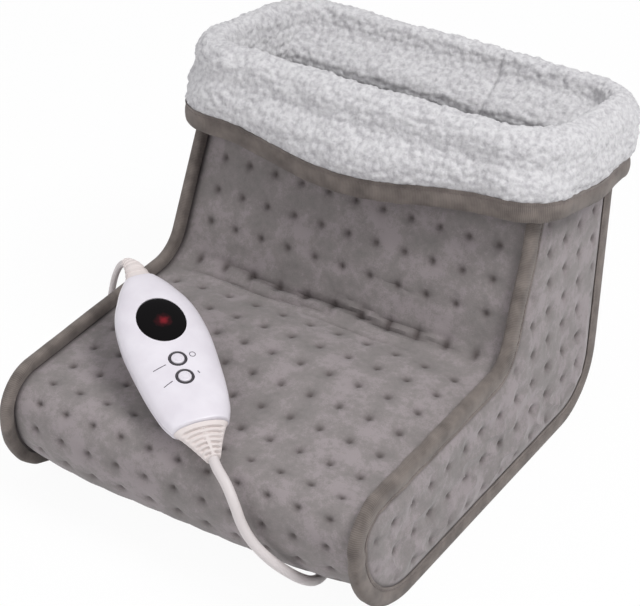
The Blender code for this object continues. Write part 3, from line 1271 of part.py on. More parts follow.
def main():
    clear_scene()
    looks = {
        "plush": material("quilted_plush", (0.32, 0.29, 0.29), 0.9),
        "tape": material("grosgrain_tape", (0.21, 0.18, 0.165), 0.8),
        "sherpa": material("sherpa_fleece", (0.82, 0.82, 0.83), 0.95),
        "sole": material("non_slip_cloth", (0.20, 0.185, 0.18), 0.9),
        "foam": material("foam", (0.75, 0.73, 0.66), 0.95),
        "felt": material("heater_felt", (0.55, 0.55, 0.55), 0.95),
        "wire": material("heating_wire", (0.70, 0.25, 0.15), 0.6),
        "shell": material("controller_abs", (0.80, 0.77, 0.82), 0.35),
        "window": material("display_window", (0.006, 0.005, 0.006), 0.08),
        "bezel": material("dark_keypad", (0.06, 0.05, 0.06), 0.6),
        "board": material("circuit_board", (0.03, 0.16, 0.06), 0.5),
        "metal": material("plated_metal", (0.65, 0.65, 0.66), 0.3, 1.0),
        "cord": material("white_cord", (0.78, 0.74, 0.72), 0.45),
        "relief": material("cream_relief", (0.76, 0.70, 0.64), 0.5),
    }
    coarse = Outline(ARC_STEP_DEG)
    fine = Outline(FINE_STEP_DEG)
    toe_end = fine.arc_ends(2)[1]
    heel_start = fine.arc_ends(3)[0]
    top = fine.along[-1]

    front = quilted_strip("front_panel", looks["plush"], fine, 0.0, toe_end, FRONT_ROW_PHASE, front_crown)
    sole_rows = np.linspace(toe_end + GAP, heel_start - GAP, SOLE_ROWS)
    columns = np.array(SOLE_COLUMN_SHARES)
    crown = SEAM_INSET - (SEAM_INSET - SOLE_CROWN_INSET) * crown_shares(columns)
    seamed_strip("sole_panel", looks["sole"], fine, sole_rows, columns, np.tile(crown, (SOLE_ROWS, 1)))
    back = quilted_strip(
        "back_panel", looks["plush"], fine, heel_start, top, BACK_ROW_PHASE,
        lambda share: np.interp(share, (0.0, 0.2), (SOLE_CROWN_INSET, BACK_CROWN_INSET)),
    )
    rows = trimmed(front, LINING_FRONT_DROP, toe_end)
    plain_strip("lining_front", looks["sherpa"], fine, rows, STACK, LINING_T)
    rows = trimmed(back, heel_start, top - LINING_BACK_DROP)
    plain_strip("lining_back", looks["sherpa"], fine, rows, STACK, LINING_T)
    sole_stack(looks, fine, sole_rows)
    for side, word in ((-1, "left"), (1, "right")):
        panel = side_panel(f"side_panel_{word}", looks["plush"], side, coarse, fine)
        edge_binding(f"edge_binding_{word}", looks["tape"], side, coarse)
        lining = side_lining(f"lining_{word}", looks["sherpa"], side, coarse)
        if side < 0:
            hole_along_x(panel, looks["plush"], OUTLET_SHANK_RADIUS + GAP, "outlet_hole")
            hole_along_x(lining, looks["sherpa"], INNER_LEAD_D / 2 + GAP, "lead_hole")
    cuff(looks["sherpa"])
    cuff_binding(looks["tape"])

    frame = bpy.data.objects.new("controller_frame", None)
    bpy.context.collection.objects.link(frame)
    frame.matrix_world = controller_matrix()
    controller_shells(looks["shell"], frame)
    display(looks["window"], looks["bezel"], frame)
    circuit_board(looks["board"], frame)
    button_set("power", BUTTON_POWER_X, looks, frame)
    button_set("level", BUTTON_LEVEL_X, looks, frame)
    controller_screws(looks["metal"], frame)
    lower_relief(looks["relief"], frame)

    line = heater_line()
    upper_relief(looks["relief"], line)
    cord_outlet(looks["relief"])
    _, free = split_line(line, UPPER_RELIEF_LENGTH + 2 * GAP)
    free, _ = split_line(free, np.linalg.norm(np.diff(free, axis=0), axis=1).sum() - GAP)
    tube("heater_cord", looks["cord"], spaced(free, CORD_STEP_DIAMETERS * HEATER_CORD_D), HEATER_CORD_D, 2)
    lead_start = placed((-seam_x(OUTLET_Z) + GAP, OUTLET_Y, OUTLET_Z))
    lead_end = placed((wire_start_x() - GAP, OUTLET_Y, OUTLET_Z))
    tube("inner_lead", looks["wire"], np.linspace(lead_start, lead_end, 4), INNER_LEAD_D, 2)

    away = controller_point(1.0) - controller_point(0.0)
    exit_point = controller_point(CONTROLLER_LENGTH / 2) + away * (LOWER_RELIEF_LENGTH + 2 * GAP)
    coil = coil_points()
    join = coil[0] - np.array((0.0, GAP, 0.0))
    route = [exit_point, exit_point + away * MAINS_CORD_D, *placed(MAINS_ROUTE)]
    route += [join - np.array((0.0, MAINS_CORD_D, 0.0)), join]
    mains = smooth_route(route, CORD_STEP_DIAMETERS * MAINS_CORD_D)
    tube("mains_cord", looks["cord"], mains, MAINS_CORD_D, 3)
    tube("mains_cord_coil", looks["cord"], coil, MAINS_CORD_D, 1)
    coil_tie(looks["bezel"])
    plug(looks, coil[-1])


main()
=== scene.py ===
# %% [markdown]
# # An electric foot warmer, worked out as surfaces
# The real one is a quilted boot for both feet. It has five plush panels joined by taped seams, a
# sherpa lining that folds over as a cuff, and a hand controller on a cord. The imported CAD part
# gives every place and size, in metres. Each cell below works out one piece or one finish.

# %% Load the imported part
import math

import bmesh
import bpy
import numpy as np
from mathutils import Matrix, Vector


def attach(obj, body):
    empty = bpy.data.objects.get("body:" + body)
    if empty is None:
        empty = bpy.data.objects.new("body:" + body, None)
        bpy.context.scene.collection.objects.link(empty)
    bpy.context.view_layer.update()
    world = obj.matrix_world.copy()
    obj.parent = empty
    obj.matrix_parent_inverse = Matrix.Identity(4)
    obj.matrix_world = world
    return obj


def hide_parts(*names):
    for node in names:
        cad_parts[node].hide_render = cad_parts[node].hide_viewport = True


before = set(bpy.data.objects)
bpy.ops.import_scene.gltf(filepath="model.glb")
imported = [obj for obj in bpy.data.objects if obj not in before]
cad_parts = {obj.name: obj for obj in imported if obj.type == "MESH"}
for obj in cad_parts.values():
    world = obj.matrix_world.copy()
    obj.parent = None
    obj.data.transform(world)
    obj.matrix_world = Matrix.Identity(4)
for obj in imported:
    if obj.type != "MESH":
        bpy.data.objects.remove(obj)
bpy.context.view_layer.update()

# %% [markdown]
# ## The camera
# The photograph looks down on the toe from the front right, with a long lens: the boot's far and
# near edges stay almost parallel. The boot is drawn from its toe, so one shift along Y brings a
# point from there to the part's own origin.

# %% Camera
RIM_BACK_Y = 0.3567
ROLL_RADIUS = 0.0178
MIDDLE_Y = (RIM_BACK_Y + ROLL_RADIUS * math.cos(math.radians(12.0))) / 2


def placed(points):
    """Points written from the toe, moved to the part's frame: y less half the boot's length."""
    return np.asarray(points, float) - np.array((0.0, MIDDLE_Y, 0.0))


def linked(name, data, spot=(0.0, 0.0, 0.0), look=None):
    """A new object in the scene that shows the data; its -Z axis may look along a direction."""
    made = bpy.data.objects.new(name, data)
    bpy.context.scene.collection.objects.link(made)
    made.location = spot
    if look is not None:
        made.rotation_euler = Vector(look).to_track_quat("-Z", "Y").to_euler()
    return made


LOOK_AT = placed((0.0005, 0.1748, 0.1068))
LOOK_ALONG = np.array((-0.452, 0.707, -0.544))
DISTANCE = 1.4747
LENS_MM, SENSOR_MM = 123.75, 36.0

lens = bpy.data.cameras.new("camera")
lens.lens, lens.sensor_width, lens.clip_start = LENS_MM, SENSOR_MM, 0.05
look = LOOK_ALONG / np.linalg.norm(LOOK_ALONG)
bpy.context.scene.camera = linked("camera", lens, LOOK_AT - look * DISTANCE, look)
bpy.context.scene.view_settings.view_transform = "Standard"

# %% [markdown]
# ## Nodes and colours
# Few helpers serve every finish. One turns the sRGB hex value of a colour into the linear numbers
# that a shader wants. One adds a node with its settings and links. The others give a finish what
# nearly every real surface has: noises of real sizes, a tint that follows them, and bumps.

# %% Colour and node helpers


def linear(hex_value):
    """sRGB hex to linear: c / 12.92 when small, else ((c + 0.055) / 1.055) ** 2.4."""
    srgb = [int(hex_value[k : k + 2], 16) / 255 for k in (0, 2, 4)]
    return (*(c / 12.92 if c <= 0.04045 else ((c + 0.055) / 1.055) ** 2.4 for c in srgb), 1.0)


def node(tree, kind, inputs=None, **settings):
    """Add one node. An input is given a value, or the output socket that feeds it."""
    made = tree.nodes.new(kind)
    for key, value in settings.items():
        setattr(made, key, value)
    for key, value in (inputs or {}).items():
        if isinstance(value, bpy.types.NodeSocket):
            tree.links.new(value, made.inputs[key])
        else:
            made.inputs[key].default_value = value
    return made


def plain_finish(name, colour, roughness, **sockets):
    """A Principled material with plain values; returns the material, its tree and its shader."""
    made = bpy.data.materials.new(name)
    made.use_nodes = True
    tree = made.node_tree
    shader = tree.nodes["Principled BSDF"]
    shader.inputs["Base Color"].default_value = linear(colour)
    shader.inputs["Roughness"].default_value = roughness
    for key, value in sockets.items():
        shader.inputs[key.replace("_", " ")].default_value = value
    return made, tree, shader


def in_units(tree, size):
    """Object coordinates in units of a real size in metres, so that one cell is that big."""
    place = node(tree, "ShaderNodeTexCoord").outputs["Object"]
    return node(tree, "ShaderNodeMapping", {"Vector": place, "Scale": (1 / size,) * 3}).outputs[0]


def noises(tree, *sizes):
    """A noise from 0 to 1 for each (size of its blobs in metres, detail, roughness)."""
    return [node(tree, "ShaderNodeTexNoise", {"Vector": in_units(tree, size), "Scale": 1.0,
                                              "Detail": detail, "Roughness": coarse}).outputs[0]
            for size, detail, coarse in sizes]


def lay_on(tree, shader, place, stops, bumps, socket="Base Color"):
    """A ramp of (position, hex) stops read at a place, and bumps of (height, metres, strength).

    Each bump is laid over the one before it. Returns the ramp's colour.
    """
    colour = None
    if stops:
        ramp = node(tree, "ShaderNodeValToRGB", {"Fac": place})
        elements = ramp.color_ramp.elements
        for index, (position, hex_value) in enumerate(stops):
            stop = elements[index] if index < len(elements) else elements.new(position)
            stop.position, stop.color = position, linear(hex_value)
        colour = ramp.outputs["Color"]
        tree.links.new(colour, shader.inputs[socket])
    under = {}
    for height, depth, strength in bumps:
        bump = node(tree, "ShaderNodeBump", {"Height": height, "Distance": depth,
                                             "Strength": strength, **under})
        under = {"Normal": bump.outputs["Normal"]}
        tree.links.new(bump.outputs["Normal"], shader.inputs["Normal"])
    return colour


def mottled(name, colour, roughness, sizes, stops=(), bumps=(), rough=(), **sockets):
    """A finish whose tint, and its roughness from one value to another, follow its first noise.

    Its bumps are (which noise, depth in metres, strength).
    """
    made, tree, shader = plain_finish(name, colour, roughness, **sockets)
    heights = noises(tree, *sizes)
    lay_on(tree, shader, heights[0], stops, [(heights[k], *bump) for k, *bump in bumps])
    if rough:
        spread = node(tree, "ShaderNodeMapRange", {"Value": heights[0], "From Min": 0.3,
                                                   "From Max": 0.7, "To Min": rough[0],
                                                   "To Max": rough[1]})
        tree.links.new(spread.outputs[0], shader.inputs["Roughness"])
    return made


# %% [markdown]
# ## Floor and light
# The photograph has a white ground and soft light with hardly any shadow. The floor is a plain
# pale plane. Light Path lets the camera see it almost white while it still takes a soft shadow.
# A pale sky gives most of the light, and two large lamps give the shapes some direction.

# %% Floor
FLOOR_HALF = 4.5
FLOOR_WHITE_SHARE = 0.95


def white_to_the_camera():
    """Pale paint to the light, and mostly plain white to the camera, mirrors and glass."""
    made, tree, shader = plain_finish("painted_floor", "f4f4f4", 0.9)
    rays = node(tree, "ShaderNodeLightPath").outputs
    seen = rays["Is Camera Ray"]
    for value, operation in ((rays["Is Glossy Ray"], "MAXIMUM"),
                             (rays["Is Transmission Ray"], "MAXIMUM"),
                             (FLOOR_WHITE_SHARE, "MULTIPLY")):
        seen = node(tree, "ShaderNodeMath", {0: seen, 1: value}, operation=operation).outputs[0]
    white = node(tree, "ShaderNodeEmission", {"Color": (1.0, 1.0, 1.0, 1.0), "Strength": 1.0})
    mixed = node(tree, "ShaderNodeMixShader", {0: seen, 1: shader.outputs[0], 2: white.outputs[0]})
    tree.links.new(mixed.outputs[0], tree.nodes["Material Output"].inputs["Surface"])
    return made


ground = bpy.data.meshes.new("floor")
ground.from_pydata([(x * FLOOR_HALF, y * FLOOR_HALF, 0.0)
                    for x, y in ((-1, -1), (1, -1), (1, 1), (-1, 1))], [], [(0, 1, 2, 3)])
ground.materials.append(white_to_the_camera())
linked("floor", ground)

# %% Sky and lamps
SKY_STRENGTH = 0.50
LAMPS = (
    # name, place, size in metres, watts
    ("key", (1.1, 0.0, 1.9), 0.8, 29.0),
    ("fill", (-0.7, -1.6, 1.0), 1.4, 9.0),
)

sky = bpy.data.worlds.new("sky")
sky.use_nodes = True
background = sky.node_tree.nodes["Background"]
background.inputs["Color"].default_value = linear("fbfbff")
background.inputs["Strength"].default_value = SKY_STRENGTH
bpy.context.scene.world = sky
for lamp_name, spot, size, power in LAMPS:
    lamp = bpy.data.lights.new(lamp_name, "AREA")
    lamp.size, lamp.energy = size, power
    linked(lamp_name, lamp, spot, LOOK_AT - np.array(spot))

# %% [markdown]
# ## Surfaces on grids
# Every piece below is one array of points, rows by columns by three. A grid may close on itself
# in either direction. A slab is two such grids, back to back, with a border that joins their
# edges. UVs are unrolled in metres, so that a weave keeps its real thread spacing on any piece.

# %% Grid and slab helpers


def grid(points, wrap_rows=False, wrap_columns=False):
    """Quads between neighbours on a grid, with UVs that add up the mean steps along each side."""
    rows, columns = points.shape[:2]
    shown = np.concatenate((points, points[:1])) if wrap_rows else points
    shown = np.concatenate((shown, shown[:, :1]), axis=1) if wrap_columns else shown
    down = np.linalg.norm(np.diff(shown, axis=0), axis=-1).mean(axis=1)
    across = np.linalg.norm(np.diff(shown, axis=1), axis=-1).mean(axis=0)
    v = np.concatenate(((0.0,), np.cumsum(down)))
    u = np.concatenate(((0.0,), np.cumsum(across)))
    r, c = np.meshgrid(np.arange(len(down)), np.arange(len(across)), indexing="ij")
    corner_r = np.stack((r, r, r + 1, r + 1), axis=-1).reshape(-1, 4)
    corner_c = np.stack((c, c + 1, c + 1, c), axis=-1).reshape(-1, 4)
    quads = (corner_r % rows) * columns + corner_c % columns
    return points.reshape(-1, 3), quads, np.stack((u[corner_c], v[corner_r]), axis=-1)


def slab(outer, inner):
    """Two grids back to back: the faces of each, and a border that joins their four edges."""
    rows, columns = outer.shape[:2]
    vertices, quads, uv = grid(outer)
    count = len(vertices)
    number = np.arange(count).reshape(rows, columns)
    ring = np.concatenate((number[0, :-1], number[:-1, -1], number[-1, :0:-1], number[:0:-1, 0]))
    ahead = np.roll(ring, -1)
    border = np.column_stack((ahead, ring, ring + count, ahead + count))
    at = np.zeros((count, 2))
    at[quads.reshape(-1)] = uv.reshape(-1, 2)
    border_uv = at[border % count]
    faces = np.vstack((quads, quads[:, ::-1] + count, border))
    return (np.vstack((vertices, inner.reshape(-1, 3))), faces,
            np.concatenate((uv, uv[:, ::-1], border_uv)))


def joined(*parts):
    """Several sets of vertices, quads and UVs as one."""
    counts = np.cumsum([0] + [len(vertices) for vertices, _, _ in parts])
    return (np.vstack([p[0] for p in parts]),
            np.vstack([p[1] + start for p, start in zip(parts, counts)]),
            np.concatenate([p[2] for p in parts]))


def welded(mesh):
    """Merge points that meet, and turn every face outwards."""
    work = bmesh.new()
    work.from_mesh(mesh)
    bmesh.ops.remove_doubles(work, verts=work.verts, dist=1e-6)
    bmesh.ops.recalc_face_normals(work, faces=work.faces)
    work.to_mesh(mesh)
    work.free()


def piece(name, body, finish, parts, *nodes, slot=None, sharp_deg=40.0, painted_shade=None):
    """Make a closed mesh from arrays and let it ride on a body, in place of the CAD's nodes.

    The last argument, where it is given, is a value from 0 to 1 for each point: how much painted
    shade a finish lays on there.
    """
    vertices, quads, uv = parts
    mesh = bpy.data.meshes.new(name)
    mesh.vertices.add(len(vertices))
    mesh.vertices.foreach_set("co", vertices.astype(np.float32).ravel())
    mesh.loops.add(quads.size)
    mesh.loops.foreach_set("vertex_index", quads.astype(np.int32).ravel())
    mesh.polygons.add(len(quads))
    mesh.polygons.foreach_set("loop_start", np.arange(0, quads.size, 4, dtype=np.int32))
    mesh.update(calc_edges=True)
    layer = mesh.uv_layers.new(name="metres")
    layer.uv.foreach_set("vector", uv.astype(np.float32).ravel())
    # Store the painted shade on the points, for the finish to read.
    if painted_shade is not None:
        values = mesh.attributes.new("painted_shade", "FLOAT", "POINT")
        values.data.foreach_set("value", painted_shade.astype(np.float32).ravel())
    welded(mesh)
    mesh.shade_smooth()
    mesh.set_sharp_from_angle(angle=math.radians(sharp_deg))
    mesh.materials.append(finish)
    made = linked(name, mesh)
    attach(made, body)
    if nodes:
        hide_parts(*nodes)
    return made


# tufted one for sherpa. Both read a whole-number hash of the cell that a point lies in, so the
# same point always gives the same value and nothing needs a random seed.

# %% Noise helpers


def cell_value(cells, seed):
    """From 0 to 1 for each cell: its three numbers times large primes, then bits folded over."""
    mixed = (cells.astype(np.int64) * np.array((73856093, 19349663, 83492791))).sum(axis=-1)
    mixed = (mixed + seed * 2654435761) & 0xFFFFFFFF
    for shift, factor in ((15, 2246822519), (13, 3266489917)):
        mixed = ((mixed ^ (mixed >> shift)) * factor) & 0xFFFFFFFF
    return ((mixed ^ (mixed >> 16)) & 0xFFFFFF) / 0xFFFFFF


def soft_noise(points, size, seed):
    """Values at cell corners blended by 3t^2 - 2t^3 along each axis, from -1 to 1."""
    place = points / size
    low = np.floor(place)
    t = place - low
    t = t * t * (3 - 2 * t)
    total = np.zeros(points.shape[:-1])
    for corner in np.ndindex(2, 2, 2):
        side = np.array(corner)
        weight = np.prod(np.where(side == 1, t, 1 - t), axis=-1)
        total += weight * cell_value(low + side, seed)
    return 2 * total - 1


def tufts(points, size, seed):
    """Round tufts, one to a cell: the tallest of 1 - (distance to its jittered middle)^2."""
    place = points / size
    low = np.floor(place)
    tallest = np.zeros(points.shape[:-1])
    for shift in np.ndindex(3, 3, 3):
        cell = low + np.array(shift) - 1
        jitter = np.stack([cell_value(cell, seed + k) for k in range(3)], axis=-1)
        apart = ((place - cell - 0.15 - 0.7 * jitter) ** 2).sum(axis=-1)
        height = 0.7 + 0.3 * cell_value(cell, seed + 5)
        tallest = np.maximum(tallest, height * (1 - apart / 0.75))
    return tallest


def through(x, xs, ys):
    """A smooth curve through a table: cubic pieces with the mean slope at each entry."""
    xs = np.asarray(xs, float)
    ys = np.asarray(ys, float)
    slopes = np.gradient(ys, xs)
    k = np.clip(np.searchsorted(xs, x, side="right") - 1, 0, len(xs) - 2)
    step = xs[k + 1] - xs[k]
    t = np.clip((x - xs[k]) / step, 0.0, 1.0)
    square, cube = t * t, t * t * t
    return ((2 * cube - 3 * square + 1) * ys[k] + (cube - 2 * square + t) * step * slopes[k]
            + (3 * square - 2 * cube) * ys[k + 1] + (cube - square) * step * slopes[k + 1])

# %% [markdown]
# ## The cloths
# Three cloths cover the boot. Plush velour is brushed polyester: its pile takes the light in soft
# patches and glows a little at grazing angles. Grosgrain tape is woven with fine ribs across it.
# Sherpa is a curly fleece, whose curls are real shapes here and whose fibres are bump.

# %% Plush velour
# Sizes of the patches where the pile leans, of its streaks and of its nap; detail and roughness.
PILE_NOISES = ((0.021, 3.0, 0.55), (0.0042, 2.0, 0.6), (0.0009, 1.0, 0.5))
# Colour of the painted shade laid in the dimples, along the seams and in the creases.
PAINTED_SHADE_COLOUR = "534c4b"


def plush_velour():
    """Brushed polyester velour: patches where the pile leans, and a fine bumpy nap.

    Painted shade darkens its colour in the dimples, along the seams and in the ankle creases, where
    shade falls.
    """
    made, tree, shader = plain_finish("brushed_plush_velour_painted_shade", "9a9192", 0.92, Sheen_Weight=0.22,
                                      Sheen_Roughness=0.45, Specular_IOR_Level=0.12)
    place, streak, grain = noises(tree, *PILE_NOISES)
    for noise, share in ((streak, 0.45), (grain, 0.30)):
        place = node(tree, "ShaderNodeMath", {0: noise, 1: share, 2: place},
                     operation="MULTIPLY_ADD").outputs[0]
    colour = lay_on(tree, shader, place, ((0.55, "7b7775"), (1.15, "968e8f"), (0.85, "888281")),
                    ((streak, 0.0006, 0.35), (grain, 0.0003, 0.5)))
    # Painted shade: a value stored on each point mixes the colour towards the dark one.
    painted_shade = node(tree, "ShaderNodeAttribute", attribute_name="painted_shade").outputs["Fac"]
    shaded = node(tree, "ShaderNodeMix", {"Factor": painted_shade, "A": colour,
                                          "B": linear(PAINTED_SHADE_COLOUR)}, data_type="RGBA")
    tree.links.new(shaded.outputs["Result"], shader.inputs["Base Color"])
    return made


PLUSH = plush_velour()

# %% Grosgrain tape
# A rib is 0.5 mm on the real tape; it is drawn 1.1 mm wide, the finest that the render shows.
RIB_SPACING = 0.0011


def grosgrain_tape():
    """Woven tape: a sine rib along the unrolled length, with painted shade in its grooves."""
    made, tree, shader = plain_finish("grosgrain_tape", "7f736f", 0.8, Sheen_Weight=0.12,
                                      Specular_IOR_Level=0.2)
    uv = node(tree, "ShaderNodeTexCoord").outputs["UV"]
    wave = node(tree, "ShaderNodeSeparateXYZ", {0: uv}).outputs["Y"]
    worn, = noises(tree, (0.012, 3.0, 0.5))
    for operation, inputs in (("MULTIPLY", {1: math.tau / RIB_SPACING}), ("SINE", {})):
        wave = node(tree, "ShaderNodeMath", {0: wave, **inputs}, operation=operation).outputs[0]
    # The rib's sine also darkens the colour in the grooves: painted shade.
    mixed = node(tree, "ShaderNodeMath", {0: wave, 1: 0.10, 2: worn}, operation="MULTIPLY_ADD")
    lay_on(tree, shader, mixed.outputs[0], ((0.25, "5d5652"), (0.75, "837a74")),
           ((wave, 0.00012, 0.6),))
    return made


TAPE = grosgrain_tape()

# %% Sherpa fleece


def sherpa_fleece(name, light, shade):
    """Curly polyester fleece: fibre noise as bump, and painted shade, a cool grey, where the noise
    is low between the curls.
    """
    return mottled(name, light, 0.95, ((0.0034, 3.0, 0.6), (0.0008, 1.0, 0.5)),
                   ((0.30, shade), (0.60, light)), ((0, 0.0012, 0.6), (1, 0.0004, 0.6)),
                   Sheen_Weight=0.25, Sheen_Roughness=0.6, Specular_IOR_Level=0.1)


SHERPA = sherpa_fleece("sherpa_fleece", "d1d0d1", "b0aeb1")
# Inside, the same fleece is painted whiter: painted light that lifts the shade deep in the shaft.
LINING_FLEECE_PAINTED_LIGHTER = sherpa_fleece("sherpa_fleece_inside_painted_lighter", "e8e7e8", "d2d0d3")

# %% [markdown]
# ## The boot's side outline
# One line governs the boot: its side view, from the shaft's front top down over the instep, round
# the toe, along the sole and up the heel. It is straight runs joined by true arcs. Each panel is
# placed by how far along this line it lies and how deep inside it.

# %% Lines


def run_along(points):
    """How far along a line each of its points lies: the running sum of the steps."""
    steps = np.linalg.norm(np.diff(points, axis=0), axis=1)
    return np.concatenate(((0.0,), np.cumsum(steps)))


def read_at(spots, along, points):
    """A line's points, normals or numbers read at places along it."""
    return np.stack([np.interp(spots, along, column) for column in points.T], axis=-1)


def even(points, count):
    """A line read again at evenly spaced places."""
    along = run_along(points)
    return read_at(np.linspace(0.0, along[-1], count), along, points)


def rows_between(start, end, step):
    """Even rows between two distances."""
    return np.linspace(start, end, round((end - start) / step) + 1)


# %% Outline
WIDTH = 0.280
SIDE_SLOPE = 0.0406
TAPE_T = 0.0008
GAP = 0.0003
EDGE_T = 0.003
ALLOWANCE_T = 0.0015
ALLOWANCE_INSET = 0.0020
SEAM_INSET = 0.010
PAD_T = 0.0065
PAD_INNER = SEAM_INSET + PAD_T
INSTEP = (0.1877, 0.0990)
FRONT_SLOPE = 0.423
BACK_SLOPE = 0.160
HEEL_Y = 0.314
SHAFT_FRONT_Y, SHAFT_FRONT_Z = 0.234, 0.2085
SHAFT_BACK_Z = 0.1960
CORNERS = (
    # y, z, radius of the arc
    (INSTEP[0] + FRONT_SLOPE * (SHAFT_FRONT_Z - INSTEP[1]), SHAFT_FRONT_Z, 0.0),
    (*INSTEP, 0.023),
    (0.0, 0.0955, 0.031),
    (0.0, 0.0, 0.063),
    (HEEL_Y, 0.0, 0.052),
    (HEEL_Y + BACK_SLOPE * SHAFT_BACK_Z, SHAFT_BACK_Z, 0.0),
)
ARC_POINTS = 60


def front_y(z):
    """The shaft's front edge at height z: a straight slope from the instep."""
    return INSTEP[0] + FRONT_SLOPE * (z - INSTEP[1])


def back_y(z):
    """The shaft's back edge at height z."""
    return HEEL_Y + BACK_SLOPE * z


def seam_x(z):
    """Half the distance between the side panels' inner faces: it shrinks evenly with height."""
    return WIDTH / 2 - TAPE_T - GAP - EDGE_T - SIDE_SLOPE * z


def outline_points():
    """Straight runs joined by arcs: each arc's centre lies on the bisector of its corner."""
    arcs, normals = [], []
    for before, (*corner, radius), after in zip(CORNERS[:-2], CORNERS[1:-1], CORNERS[2:]):
        ways = np.array((before[:2], after[:2])) - corner
        ways /= np.linalg.norm(ways, axis=1)[:, None]
        half = math.acos(float(ways[0] @ ways[1])) / 2
        bisector = ways.sum(axis=0) / np.linalg.norm(ways.sum(axis=0))
        centre = corner + bisector * radius / math.sin(half)
        start, stop = (math.atan2(end[1], end[0])
                       for end in corner + ways * radius / math.tan(half) - centre)
        turn = math.remainder(stop - start, math.tau)
        angles = start + turn * np.linspace(0.0, 1.0, ARC_POINTS)
        rim = np.column_stack((np.cos(angles), np.sin(angles)))
        arcs.append(centre + radius * rim)
        normals.append(np.sign(turn) * rim)
    return (np.vstack((CORNERS[0][:2], *arcs, CORNERS[-1][:2])),
            np.vstack((normals[0][0], *normals, normals[-1][-1])))


OUTLINE, NORMALS = outline_points()
ALONG = run_along(OUTLINE)
INSTEP_MIDDLE, TOE_TOP, TOE_LOW, HEEL_MIDDLE = ARC_POINTS * np.arange(4) + ARC_POINTS // 2
TOE_END = ALONG[3 * ARC_POINTS]
HEEL_START = ALONG[3 * ARC_POINTS + 1]
TOP_END = ALONG[-1]


def at_outline(along):
    """Points and outward normals at distances along the outline."""
    point, normal = (read_at(along, ALONG, line) for line in (OUTLINE, NORMALS))
    return point, normal / np.linalg.norm(normal, axis=-1, keepdims=True)


print(f"outline {TOP_END * 1000:.0f} mm: the toe ends at {TOE_END * 1000:.0f} mm")

# %% [markdown]
# ## Quilting
# The plush is welded to its wadding at dots, in a square pattern 22 mm apart. Each dot is a small
# deep dimple in a shallow dish, and four faint puckers run from it towards its neighbours. The
# pattern is one function of two lengths, so the same dimples cross every panel at one size.

# %% Dimples
DIMPLE_PITCH = 0.0221
DIMPLE_ROW_PITCH = 0.0232
DIMPLE_DEPTH = 0.0026
DIMPLE_CORE = 0.0024
DIMPLE_DISH = 0.0062
CORE_SHARE, DISH_SHARE, PUCKER_SHARE = 0.70, 0.42, 0.10
# Painted shade at each quilting dot: a dark core and a fainter dish, standing in for the shade in
# the dimple.
PAINTED_SHADE_CORE = 0.0025
PAINTED_CORE_SHARE, PAINTED_DISH_SHARE = 0.85, 0.15
PUCKER_REACH = 0.0085


def from_nearest(across, down, pitch_across, pitch_down):
    """Lengths from the nearest dot of the pattern: what is left of x / pitch after rounding."""
    dx = (across / pitch_across - np.round(across / pitch_across)) * pitch_across
    dy = (down / pitch_down - np.round(down / pitch_down)) * pitch_down
    return dx, dy


def painted_dot_shade(across, down, pitch_across, pitch_down):
    """Painted shade at the dots: 1 at a dot, less in the dish round it."""
    r = np.hypot(*from_nearest(across, down, pitch_across, pitch_down))
    return (PAINTED_CORE_SHARE * np.exp(-((r / PAINTED_SHADE_CORE) ** 2))
            + PAINTED_DISH_SHARE * np.exp(-((r / DIMPLE_DISH) ** 2)))


def dimples(across, down, pitch_across, pitch_down):
    """Depth of the quilting: exp(-(r/core)^2) and a dish, with ridges that follow cos 4a."""
    dx, dy = from_nearest(across, down, pitch_across, pitch_down)
    r = np.hypot(dx, dy)
    spokes = np.cos(4 * np.arctan2(dy, dx))
    core = CORE_SHARE * np.exp(-((r / DIMPLE_CORE) ** 2))
    dish = DISH_SHARE * np.exp(-((r / DIMPLE_DISH) ** 2))
    from_ridge = (r - 0.5 * PUCKER_REACH) / (0.4 * PUCKER_REACH)
    return DIMPLE_DEPTH * (core + dish + PUCKER_SHARE * spokes * np.exp(-(from_ridge**2)))


# %% [markdown]
# ## Front and back panels
# One long padded strip runs from the shaft's front top over the instep and under the toe, and a
# second one covers the heel. Each is a grid of rows along the outline and columns across it. Its
# middle swells, its edges draw in to the seam, and a turned-out allowance stands inside the tape.

# %% Strip surfaces
STRIP_STEP = 0.0015
CROWN_POWER = 5.0
ROUND_SHARE = 0.12
CLOSER_SHARE = 0.35
BLUR_SHARE = 0.012
FRONT_CROWN = np.array((
    # share of the length, swell as a share of the seam's inset
    (0.0, 0.40), (0.19, 0.30), (0.25, 0.45), (0.279, 0.90), (0.309, 0.40), (0.357, -0.10),
    (0.416, -0.35), (0.476, -0.25), (0.516, 0.07), (0.583, 0.40), (0.647, 0.70), (0.690, 0.55),
    (0.762, 0.30), (0.856, 0.32), (0.906, 0.38), (0.956, 0.85), (1.0, 0.85),
))
BACK_CROWN = np.array(((0.0, 0.85), (0.2, 0.45), (1.0, 0.45)))


def closer_at_ends(count, share):
    """From -1 to 1 in steps that shrink towards both ends: a share of sin, the rest even."""
    t = np.linspace(-1.0, 1.0, count)
    return share * np.sin(t * math.pi / 2) + (1.0 - share) * t


def crown_shares(columns):
    """How far the swell rises across a strip: 1 - a c^2 - (1 - a) |c|^5."""
    return 1.0 - ROUND_SHARE * columns**2 - (1.0 - ROUND_SHARE) * np.abs(columns) ** CROWN_POWER


def strip_points(along, shares, offset, inset):
    """Points at a share of the half width left by the offset, inset below the outline."""
    base, normal = at_outline(along)
    y = base[:, None, 0] - inset * normal[:, None, 0]
    z = base[:, None, 1] - inset * normal[:, None, 1]
    x = shares[None, :] * (seam_x(z) - offset)
    return placed(np.stack((x, y, z), axis=-1))


